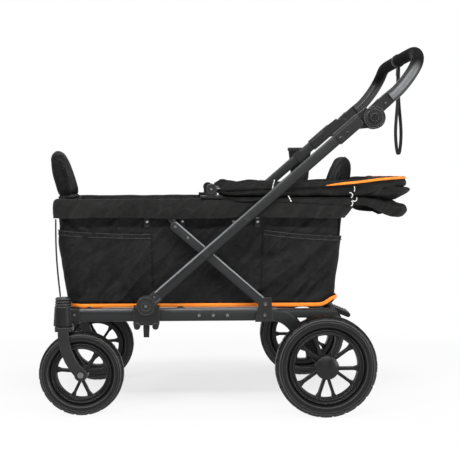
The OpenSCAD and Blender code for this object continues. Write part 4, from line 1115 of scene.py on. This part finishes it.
def canopy_stops(layer, x, i):
    """The section of one layer of gathered cloth at a place along the bows, as offset and height."""
    back = smooth_step(0.440, 0.535, x)
    wave = ripple(Vector((i * 0.085, layer * 3.0, 0.0)), 1.0, 1.3 * layer)
    wave2 = ripple(Vector((i * 0.21, layer * 5.0, 1.0)), 1.0, 2.1 * layer)
    z1 = x * math.tan(2 * BOW_FAN)
    z2 = x * math.tan(BOW_FAN)
    floor = -0.0225
    if layer == 1:
        head = 0.0130 * (1 - smooth_step(0.13, 0.24, x))
        head += 0.005 * bell(x - 0.050, 0.024)
        head -= 0.005 * bell(x - 0.100, 0.030)
        top = 0.0050 + head + 0.0020 * wave
        out = 0.0088 + 0.0024 * wave2
        low = floor + 0.002 + 0.004 * (wave2 + 0.5)
        tall = z1 - low
        lump = 0.007 * max(0.0, wave + wave2)
        side = [
            (-0.0120, z2 + 0.0045), (-0.0105, z2 + 0.010), (-0.0050, z1 + top), (0.0020, z1 + top * 0.9),
            (out * 0.85, z1 + 0.002), (out, z1 - tall * 0.26),
            (out * (0.3 + 0.5 * wave), z1 - tall * (0.48 + 0.12 * wave2)),
            (out * 1.05, z1 - tall * 0.72), (out * 0.8, low + 0.003), (0.0035, low), (0.0015, z1 - 0.0065),
        ]
        rear = [
            (-0.0120, z2 + 0.0045), (-0.0105, z2 + 0.010), (-0.0030, z1 + 0.006 + lump),
            (0.0100, z1 + 0.0055 + 0.6 * lump), (0.0205, z1 + 0.0035), (0.0250 + 0.003 * wave, z1 - 0.003),
            (0.0258 + 0.004 * wave2, z1 - 0.011), (0.0245, z1 - 0.019), (0.0200, z1 - 0.0215 - 0.002 * wave),
            (0.0090, z1 - 0.0185), (0.0015, z1 - 0.0065),
        ]
        return mixed(side, rear, back)
    if layer == 2:
        low = floor + 0.001 + 0.003 * (wave + 0.5)
        side = [
            (-0.0240, 0.0048), (-0.0225, 0.011 + 0.004 * wave), (-0.0195, 0.009), (-0.0165, low * 0.5),
            (-0.0094, low), (-0.0060, low + 0.002), (-0.0100, low + 0.004), (-0.0128, z2 - 0.014),
            (-0.0125, z2 - 0.010), (-0.0122, z2 - 0.005),
        ]
        rear = [
            (-0.0240, 0.0048), (-0.0222, 0.010), (-0.0165, -0.005), (-0.0110, -0.030 + 0.004 * wave),
            (0.0080, -0.0235 + 0.005 * wave2), (0.0290, -0.0115 + 0.004 * wave),
            (0.0375 + 0.005 * wave2, -0.001), (0.0300, 0.0045), (0.0080, 0.0062), (-0.0122, z2 - 0.005),
        ]
        return mixed(side, rear, back)
    past = smooth_step(0.045, 0.085, x)
    hem = -0.0262 - past * (0.0110 + 0.0110 * smooth_step(0.15, 0.44, x) - 0.002 * wave)
    over = 0.0040 + 0.0072 * past
    side = [
        (over, hem), (over, hem + 0.006 * past), (over - 0.0014, -0.0262 - 0.0033 * past),
        (over * 0.2, -0.0250), (-0.0120, -0.0242), (-0.0250, -0.0225), (-0.0268, -0.0130), (-0.0238, -0.0050),
    ]
    rear = [
        (0.0080 + 0.010 * wave2, -0.084 + 0.010 * wave), (0.0190, -0.078 + 0.006 * wave2),
        (0.0300 + 0.006 * wave, -0.062), (0.0220, -0.048), (0.0000, -0.040 + 0.003 * wave2),
        (-0.0160, -0.030), (-0.0225, -0.016), (-0.0238, -0.0050),
    ]
    return mixed(side, rear, back)


def make_canopy_layer(layer):
    """Cloth gathered between two bows."""
    count = CLOTH_ROWS
    lines = [cloth_line(canopy_stops(layer, x, i), count) for i, (x, y, nx, ny) in enumerate(PLAN)]
    bm = bmesh.new()
    bmesh.ops.create_grid(bm, x_segments=len(PLAN) - 1, y_segments=count - 1, size=0.5)
    bm.verts.ensure_lookup_table()
    order = sorted(bm.verts, key=lambda v: (round(v.co.x, 6), round(v.co.y, 6)))
    for index, v in enumerate(order):
        i, j = divmod(index, count)
        x, y, nx, ny = PLAN[i]
        offset, height = lines[i][0][j]
        closed = 0.62 + 0.38 * smooth_step(BOW_LEG, 0.046, x)
        offset = -0.008 + (offset + 0.008) * closed
        spot = Vector((x + offset * nx, y + offset * ny, height * closed))
        crease = Vector((spot.x * 0.25, spot.y * 0.25, spot.z))
        deep = 1.0 if layer < 3 else smooth_step(0.440, 0.500, x)
        spot += 0.0030 * deep * Vector((nx, ny, 0.4)) * ripple(crease, 95.0, layer)
        spot += 0.0014 * deep * Vector((nx, ny, 0.5)) * ripple(spot, 50.0, layer)
        beside = CLOTH_Y - CUP_ROOM * smooth_step(0.350, 0.375, x)
        beside -= SLEEVE_ROOM * smooth_step(0.405, 0.440, x)
        spot.y = max(-beside, min(beside, spot.y))
        first, last = lines[i][0][0], lines[i][0][-1]
        angle = math.atan2(spot.z, max(spot.x, 0.03))
        start = math.atan2(first[1], max(x + first[0] * nx, 0.03))
        end = math.atan2(last[1], max(x + last[0] * nx, 0.03)) + BOW_OPEN
        goal = start + (end - start) * j / (count - 1)
        min(1.0, max(0.0, (goal - angle) / BOW_OPEN))
        v.co = spot + PIVOT
        v.index = index
    bm.verts.sort()
    deep = sum(length for line, length in lines) / len(lines)
    cloth = new_piece(f"canopy_cloth_{layer}", bm, None, canopy_cloth)
    thicken(cloth, 0.0012, 0.0)
    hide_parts(f"canopy_fold_{layer}")
    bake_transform(cloth)


def make_canopy():
    """Three layers of gathered cloth, and the bright trim along the uppermost."""
    for layer, lower, upper in ((3, "top_frame", "bow_3"), (2, "bow_3", "bow_2"), (1, "bow_2", "bow_1")):
        make_canopy_layer(layer)
    points, scales = [], []
    for i, (x, y, nx, ny) in enumerate(PLAN):
        if x < TRIM_START:
            continue
        rise = min(1.0, (x - TRIM_START) / 0.240)
        stops = canopy_stops(1, x, i)
        offset, height = Vector(stops[5]).lerp(Vector(stops[4]), rise)
        offset += 0.0026
        if x < 0.500:
            offset = min(offset, 0.0094 + 0.010 * smooth_step(0.45, 0.50, x))
        height += CANOPY_Z + 0.0010 * rise
        points.append(Vector((CANOPY_X + x + offset * nx, y + offset * ny, height)))
        scales.append(0.30 + 0.70 * smooth_step(TRIM_START, 0.410, x))
    section = oval(0.0062, 0.0082, 10)
    soften(strip("canopy_trim", section, points, "bow_1", orange_trim, "canopy_fabric", scales=scales))


# Cord loops on the canopy's hems: body, place, radius, first angle, turn, and how far out
CORD_LOOPS = (
    ("bow_1", 0.352, 0.670, 0.0150, -30, 62, 0.2768),
    ("bow_2", 0.3530, 0.6515, 0.0078, -70, 180, 0.2772),
    ("bow_3", 0.3660, 0.6410, 0.0072, -150, 190, 0.2778),
    ("top_frame", 0.3535, 0.6275, 0.0076, -75, 145, 0.2780),
)
CORD_TIES = (
    ("front_tie", "bow_1", (0.1235, 0.2766, 0.667), (0.1315, 0.2700, 0.697)),
    ("rear_tie", "top_frame", (0.1800, 0.2780, 0.633), (0.1710, 0.2772, 0.650)),
)


def make_cord_loops():
    """Short white cord loops on the canopy's hems, and two pale ties by the arms."""
    for sign, side in SIDES:
        for body, x, z, radius, start, turn, y in CORD_LOOPS:
            points = arc(Vector((x, sign * y, z)), radius, radius, start, turn, 12)
            section = oval(0.0028, 0.0020, 8)
            soften(strip(f"{side}_{body}_cord", section, points, body, white_cord, "webbing", up=ACROSS))
        for name, body, low, high in CORD_TIES:
            foot, head = (Vector((x, sign * y, z)) for x, y, z in (low, high))
            points = [foot.lerp(head, k / 6) for k in range(7)]
            strip(f"{side}_{name}", oval(0.0030, 0.0016, 8), points, body, white_cord, "webbing", up=ACROSS)


# Handle

# The grip's bend: how far back, inwards and up from its start
GRIP_BEND = (
    (0.052, 0.0, 0.052), (0.078, 0.0, 0.092), (0.088, 0.018, 0.120), (0.088, 0.058, 0.138),
    (0.088, 0.120, 0.140),
)
GRIP_WIDE, GRIP_UP = 0.0376, Vector((0.95, 0, -0.31))
# Stitches: the first one's way from the grip's end, spacing, height, and half the gap of the two rows
STITCH_START, STITCH_STEP, STITCH_OFF, STITCH_ROW = 0.045, 0.0058, 0.01865, 0.0022

def spline(controls, steps):
    """Points of a smooth curve (uniform cubic) over its control points."""
    points = []
    for i in range(len(controls) - 3):
        a, b, c, d = controls[i:i + 4]
        for k in range(steps + (1 if i == len(controls) - 4 else 0)):
            t = k / steps
            points.append(((1 - t) ** 3 * a + (3 * t ** 3 - 6 * t ** 2 + 4) * b
                           + (-3 * t ** 3 + 3 * t ** 2 + 3 * t + 1) * c + t ** 3 * d) / 6)
    return points


def grip_path():
    """The grip's middle line, from the left arm over the cross bar to the right arm."""
    lean = ARM_ANGLE - math.radians(4)
    lead = Vector((math.cos(lean), 0, math.sin(lean)))
    start = Vector((GRIP_START.x, -PUSH_Y, GRIP_START.z))
    half = [start + lead * d for d in (-0.028, 0.0, 0.028)]
    half += [Vector((GRIP_START.x + dx, -PUSH_Y + dy, GRIP_START.z + dz)) for dx, dy, dz in GRIP_BEND]
    bar = [Vector((BAR.x, y, BAR.z)) for y in (-0.110, -0.055, 0.0, 0.055, 0.110)]
    other = [Vector((p.x, -p.y, p.z)) for p in half[::-1]]
    return spline(half + bar + other, 12)


def make_grip():
    """The padded grip with ribs at both ends, and two rows of stitches along its inner side."""
    path = grip_path()
    run = [0.0]
    for a, b in zip(path, path[1:]):
        run.append(run[-1] + (b - a).length)
    scales = []
    for r in run:
        near = min(r, run[-1] - r)
        ribs = 0.030 * sum(bell(near - at, 0.0016) for at in (0.004, 0.012, 0.020))
        # One ring in the very middle, under the strap's collar
        middle = 0.05 * bell(r - run[-1] / 2, 0.0001)
        scales.append(0.985 + 0.012 * smooth_step(0.024, 0.034, near) + ribs + middle)
    bm = swept(oval(GRIP_WIDE, GRIP_WIDE, 28), path, up=GRIP_UP, scales=scales)
    grip = new_piece("padded_grip", bm, "handle", grip_skin)
    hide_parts("handlebar")
    places = stations(path, GRIP_UP)
    stitches = bmesh.new()
    size = Matrix.Diagonal((0.0007, 0.0008, 0.0034, 1))
    goal = STITCH_START
    for k in range(1, len(path)):
        while run[k] >= goal and goal < run[-1] - STITCH_START:
            spot = path[k - 1].lerp(path[k], (goal - run[k - 1]) / (run[k] - run[k - 1]))
            turn = places[k].to_3x3().to_4x4()
            lift = Matrix.Translation(spot) @ turn @ Matrix.Translation((-STITCH_OFF, 0, 0))
            for row in (-STITCH_ROW, STITCH_ROW):
                place = lift @ Matrix.Translation((0, row, 0)) @ size
                bmesh.ops.create_cube(stitches, size=1.0, matrix=place)
            goal += STITCH_STEP
    new_piece("grip_stitches", stitches, "handle", pad_cloth, False)


COLLAR_WIDE, COLLAR_STEP, KEEPER_SIZE = 0.0420, 0.0013, (0.011, 0.021, 0.030, 1)


def make_wrist_strap():
    """A webbing collar round the bar, the hanging loop and its keeper."""
    collar = [Vector((BAR.x, -0.013 + COLLAR_STEP * k, BAR.z)) for k in range(21)]
    scales = [0.955 + 0.045 * smooth_step(0.0, 0.004, min(k, 20 - k) * COLLAR_STEP) for k in range(21)]
    section = oval(COLLAR_WIDE, COLLAR_WIDE, 28)
    band = strip("strap_collar", section, collar, "strap", strap_web, "webbing", scales=scales)
    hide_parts("wrist_strap")
    points = []
    top, end = BAR.z - 0.020, BAR.z - STRAP_LONG + 0.003
    for k in range(60):
        a = math.tau * k / 60
        drop = 0.5 - 0.5 * math.cos(a)
        swing = math.sin(a) * (0.0125 * smooth_step(0.30, 0.85, drop) + 0.0016)
        points.append(Vector((BAR.x + swing * 0.9 + 0.004 * drop, swing * 0.5, top + (end - top) * drop)))
    section, way = oval(0.0034, 0.0150, 10, 0.6), Vector((-0.5, 0.86, 0))
    soften(strip("strap_loop", section, points, "strap", strap_web, "webbing", closed=True, up=way))
    buckle = bmesh.new()
    place = Matrix.Translation((BAR.x, 0, BAR.z - 0.034))
    bmesh.ops.create_cube(buckle, size=1.0, matrix=place @ Matrix.Diagonal(KEEPER_SIZE))
    bevel(buckle, buckle.edges[:], 0.003, 3)
    new_piece("strap_keeper", buckle, "strap", black_plastic)


# Corner straps: place of their head, and how far they come down
HEAD_X, HEAD_Y, HEAD_Z, STRAP_DROP = -0.510, 0.243, 0.5828, 0.2320


def make_corner_straps():
    """Webbing from the rim's front corners to the swivel housings, a little slack."""
    for sign, side in SIDES:
        points = []
        for k in range(25):
            t = k / 24
            x = HEAD_X + 0.011 * t - 0.004 * math.sin(math.pi * t)
            y = sign * (HEAD_Y + 0.002 * math.sin(5 * t))
            points.append(Vector((x, y, HEAD_Z - STRAP_DROP * t)))
        section = oval(0.0240, 0.0030, 10, 0.6)
        strap = strip(side + "_corner_strap", section, points, "base", strap_web, "webbing", up=ALONG)
        soften(strap)
        if sign < 0:
            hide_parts("corner_straps")
        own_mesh(strap)


# The cup pouch: middle of its foot, height, its strap's place and length on the arm, and its width by level
CUP_FOOT, CUP_TALL = Vector((0.27402, 0.3215, 0.68762)), 0.118
CUP_STRAP_AT, CUP_STRAP_LONG = 0.665, 0.03
CUP_LEVELS = (
    (0.0, 0.60), (0.03, 0.70), (0.12, 0.755), (0.3, 0.80), (0.5, 0.86), (0.7, 0.91), (0.88, 0.965),
    (0.96, 0.995), (1.0, 1.0),
)


def make_cup_pouch():
    """A cloth pouch with a bound hem, and the strap that holds it on the right push arm."""
    bm = bmesh.new()
    scales = [scale for level, scale in CUP_LEVELS]
    places = [Matrix.Translation(CUP_FOOT + Vector((0, 0, CUP_TALL * level))) for level, scale in CUP_LEVELS]
    section = [(x * scales[0], y * scales[0]) for x, y in oval(0.082, 0.044, 32, 0.75)]
    first = ring_of(bm, section, places[0])
    pull(bm, first, places, scales)
    bmesh.ops.edgeloop_fill(bm, edges=first)
    for v in bm.verts:
        share = (v.co.z - CUP_FOOT.z) / CUP_TALL
        if 0.05 < share < 0.95:
            v.co.y += 0.0014 * ripple(v.co, 40.0)
            v.co.x += 0.0016 * ripple(v.co, 30.0, 2.0)
    pouch = thicken(new_piece("cup_pouch", bm, "push_arms", pouch_cloth), 0.003)
    soften(pouch)
    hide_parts("cup_holder")
    hem = [CUP_FOOT + Vector((x, y, CUP_TALL - 0.004)) for x, y in oval(0.0835, 0.0455, 40, 0.75)]
    section = oval(0.0036, 0.0120, 10, 0.7)
    soften(strip("cup_hem", section, hem, "push_arms", hem_tape, "cup_fabric", closed=True))
    clip = bmesh.new()
    arm = Matrix.Translation((SLIDER.x, PUSH_Y, SLIDER.z)) @ Matrix.Rotation(-ARM_ANGLE, 4, "Y")
    path = [arm @ Vector((CUP_STRAP_AT + CUP_STRAP_LONG * k / 6, 0, 0)) for k in range(7)]
    places = stations(path, ACROSS)
    pull(clip, ring_of(clip, oval(0.0365, 0.0206, 28, 0.5), places[0]), places)
    soften(thicken(new_piece("cup_strap", clip, "push_arms", strap_web), 0.0010))


TAPE_TOP, TAPE_STEP, TAPE_LIFT = 0.590, 0.0058, 0.0022


def make_corner_tapes():
    """Tapes sewn down the tub's rear corners, under the rim."""
    run = FLOOR_X - TUB_CORNER * 0.05
    section = oval(0.0100, 0.0024, 10, 0.6)
    for sign, side in SIDES:
        points = [wall_point(run, TAPE_TOP - TAPE_STEP * k, sign, TAPE_LIFT) for k in range(21)]
        tape = strip(side + "_corner_tape", section, points, "base", hem_tape, "webbing", up=ALONG)
        fold_down(soften(tape))


# Fasteners


def along_arm(distance, rise):
    """A step up the push arm and square to it, in the side view."""
    c, s = math.cos(ARM_ANGLE), math.sin(ARM_ANGLE)
    return Vector((distance * c - rise * s, 0, distance * s + rise * c))


# Moulded rings: body, place in the side view, how far out, and radii
RINGS = (
    ("push_arms", SLIDER, 0.2990, (0.0252, 0.0145)),
    ("top_frame", PIVOT, 0.2770, (0.0128, 0.0062)),
    ("handle", HANDLE, 0.3010, (0.0308, 0.0232)),
    ("left_button", HANDLE, 0.3060, (0.0112,)),
    ("right_button", HANDLE, 0.3060, (0.0112,)),
)
# Screws on each body: place in the side view, how far out, and radius
SCREWS = {
    "push_arms": (
        (SLIDER, 0.2990, 0.0056), (SLIDER + along_arm(0.036, 0.004), 0.2980, 0.0036),
        (SLIDER + along_arm(0.747, 0.0), 0.3012, 0.0036),
    ),
    "braces": ((FOOT.lerp(LINK, 0.86), 0.2700, 0.0044), (LINK, 0.2700, 0.0050)),
    "base": (
        (Vector((SWIVEL_X + 0.035, 0, 0.300)), 0.2580, 0.0042), (FOOT, 0.2775, 0.0052),
        (Vector((FOOT.x - 0.002, 0, 0.298)), 0.2775, 0.0048),
    ),
    "handle": ((HANDLE + along_arm(0.052, 0.012), 0.3000, 0.0046),),
    "top_frame": ((PIVOT, 0.2770, 0.0044),),
}
SCREW_SEGMENTS = 24


def make_rings():
    """Moulded rings on the knuckles, canopy pivots, handle hinges and buttons."""
    section = oval(0.0026, 0.0026, 8)
    for body, spot, y, radii in RINGS:
        for sign, side in SIDES:
            if body.endswith("_button") and not body.startswith(side):
                continue
            for number, radius in enumerate(radii):
                name = f"{side}_{body}_ring_{number}"
                ring = arc(Vector((spot.x, sign * y, spot.z)), radius, radius)
                strip(name, section, ring, body, fork_plastic, "black_plastic", closed=True, up=ACROSS)


def make_screws():
    """Button-head screws with a round recess on the arms, braces, knuckles and pivots."""
    for body, heads in SCREWS.items():
        bm = bmesh.new()
        for spot, y, radius in heads:
            for sign in (-1, 1):
                turn = Matrix.Rotation(-sign * math.pi / 2, 4, "X")
                place = Matrix.Translation((spot.x, sign * (y + 0.0006), spot.z)) @ turn
                bmesh.ops.create_cone(
                    bm, cap_ends=True, segments=SCREW_SEGMENTS, radius1=radius, radius2=radius * 0.72,
                    depth=0.0026, matrix=place,
                )
        caps = [f for f in bm.faces if len(f.verts) == SCREW_SEGMENTS]
        bmesh.ops.inset_region(bm, faces=caps, thickness=0.0009, depth=0.0)
        bmesh.ops.inset_region(bm, faces=caps, thickness=0.0001, depth=-0.0010)
        new_piece(body + "_button_screws", bm, body, screw_steel, False)


# Finishes of the CAD nodes

CAD_FINISH = {
    rail_paint: ("left_rail", "right_rail", "cross_members"),
    arm_paint: ("left_push_tube", "right_push_tube"),
    brace_paint: ("brace_arms", "top_links"),
    black_plastic: ("caster_housings", "brake_pedal", "release_levers", "canopy_pivots"),
    joint_plastic: ("brace_brackets", "knuckle_discs", "handle_sleeves", "sliders", "hinge_shells"),
    fork_plastic: ("left_fork", "right_fork"),
    gloss_plastic: ("left_button", "right_button", "left_hub_cap", "right_hub_cap"),
    wheel_plastic: ("left_front_rim", "right_front_rim", "left_rear_rim", "right_rear_rim"),
    rear_rubber: ("left_rear_tyre", "right_rear_tyre"),
    front_rubber: ("left_front_tyre", "right_front_tyre"),
    plated: ("caster_bearings", "rear_axle", "brake_bar"),
    screw_steel: ("frame_screws", "left_front_axle", "right_front_axle"),
    dark_steel: ("cross_bolts", "arm_brackets"),
    bow_metal: ("canopy_bow_1", "canopy_bow_2", "canopy_bow_3", "rim_side_tubes", "rim_end_tubes"),
    mat_cloth: ("floor_board",),
}


def dress_cad():
    """Gives each CAD node that stays in sight its finish."""
    for material, nodes in CAD_FINISH.items():
        for node in nodes:
            slots = cad[node].data.materials
            slots.clear()
            slots.append(material)


# Stage


# Area lamps: place, aim, length, width and power
LAMPS = {
    "key_light": ((-2.6, -2.7, 2.6), (0.0, 0.0, 0.4), 0.8, 0.8, 41),
    "side_light": ((2.9, -2.1, 0.85), (0.2, 0.0, 0.8), 0.6, 1.2, 40),
    "low_fill": ((0.2, -3.3, 1.0), (0.0, 0.0, 0.5), 0.34, 1.2, 6),
    "front_strip": ((-0.1, -2.3, 2.3), (-0.1, 0.0, 0.50), 4.4, 0.20, 80),
    "top_strip": ((0.0, -0.1, 2.9), (0.0, -0.1, 0.0), 5.2, 0.55, 34),
    "back_light": ((-0.6, 2.9, 2.2), (0.0, 0.0, 0.5), 1.8, 1.8, 14),
}
WORLD_LIGHT, FLOOR_SIZE = 0.24, 14
# The camera: focal length and picture width in pixels, sensor in mm, place, tilt down and turn
FOCAL_PIXELS, PICTURE_PIXELS, SENSOR = 945.48, 460, 36.0
CAMERA_SPOT, CAMERA_DOWN, CAMERA_TURN = (-0.11704, -3.03482, 0.7122), 0.05859, -0.04259


def mix_shaders(tree, share, first, second, output):
    """Puts two shaders on a tree's output, mixed by a share of the second."""
    mix = tree.nodes.new("ShaderNodeMixShader")
    for index, socket in enumerate((share.socket, first.outputs[0], second.outputs[0])):
        tree.links.new(socket, mix.inputs[index])
    tree.links.new(mix.outputs[0], tree.nodes[output].inputs[0])


def make_floor():
    """A pale floor that takes soft shadows under the wagon and fades to white around it."""
    bm = bmesh.new()
    bmesh.ops.create_grid(bm, x_segments=1, y_segments=1, size=FLOOR_SIZE)
    mesh = bpy.data.meshes.new("floor")
    bm.to_mesh(mesh)
    bm.free()
    floor = bpy.data.objects.new("floor", mesh)
    bpy.context.collection.objects.link(floor)
    material, place = new_finish("pale_floor")
    set_finish(material, tone(0.86), 0.85)
    tree = material.node_tree
    spread = place.moved(0.05, -0.25, 0).stretched(1.1, 2.2, 1).vector("LENGTH")
    bright = 0.71 + spread.rise(0.45, 1.00) * 0.21 + spread.rise(1.3, 2.4) * 0.08
    rays = tree.nodes.new("ShaderNodeLightPath").outputs
    seen = Wire(tree, rays["Is Camera Ray"])
    for ray in ("Is Glossy Ray", "Is Transmission Ray"):
        seen = seen.or_more(Wire(tree, rays[ray]))
    white = tree.nodes.new("ShaderNodeEmission")
    mix_shaders(tree, bright * seen, tree.nodes["Principled BSDF"], white, "Material Output")
    mesh.materials.append(material)


def make_world():
    """Dim white light all round; the camera sees plain white, and gloss a part of it at the back."""
    world = bpy.data.worlds.new("studio")
    bpy.context.scene.world = world
    world.use_nodes = True
    tree = world.node_tree
    light = tree.nodes["Background"]
    shown = tree.nodes.new("ShaderNodeBackground")
    for node, strength in ((light, WORLD_LIGHT), (shown, 1.0)):
        node.inputs["Color"].default_value = (1, 1, 1, 1)
        node.inputs["Strength"].default_value = strength
    rays = tree.nodes.new("ShaderNodeLightPath").outputs
    seen = Wire(tree, rays["Is Camera Ray"]).or_more(Wire(tree, rays["Is Transmission Ray"]))
    way = Wire(tree, tree.nodes.new("ShaderNodeTexCoord").outputs["Object"])
    backdrop = way.axis(1).rise(-0.15, 0.45) * 0.3
    seen = seen.or_more(Wire(tree, rays["Is Glossy Ray"]) * backdrop)
    mix_shaders(tree, seen, light, shown, "World Output")


def make_lamps():
    for name, (spot, aim, long, wide, power) in LAMPS.items():
        data = bpy.data.lights.new(name, "AREA")
        data.energy = power
        data.shape = "RECTANGLE"
        data.size = long
        data.size_y = wide
        lamp = bpy.data.objects.new(name, data)
        lamp.location = spot
        lamp.rotation_euler = (Vector(aim) - Vector(spot)).to_track_quat("-Z", "Y").to_euler()
        bpy.context.collection.objects.link(lamp)


def make_camera():
    data = bpy.data.cameras.new("photo_view")
    data.sensor_width = SENSOR
    data.lens = FOCAL_PIXELS / PICTURE_PIXELS * SENSOR
    camera = bpy.data.objects.new("photo_view", data)
    camera.location = CAMERA_SPOT
    camera.rotation_euler = (math.pi / 2 - CAMERA_DOWN, 0, CAMERA_TURN)
    bpy.context.collection.objects.link(camera)
    bpy.context.scene.camera = camera


make_camera()
make_floor()
make_world()
make_lamps()
dress_cad()
make_tub()
make_pockets()
make_piping()
make_snaps()
make_rim_cover()
make_headrests()
make_seats()
make_canopy()
make_grip()
make_wrist_strap()
make_corner_straps()
make_cup_pouch()
make_corner_tapes()
make_cord_loops()
make_rings()
make_screws()

bpy.context.scene.view_settings.view_transform = "Standard"
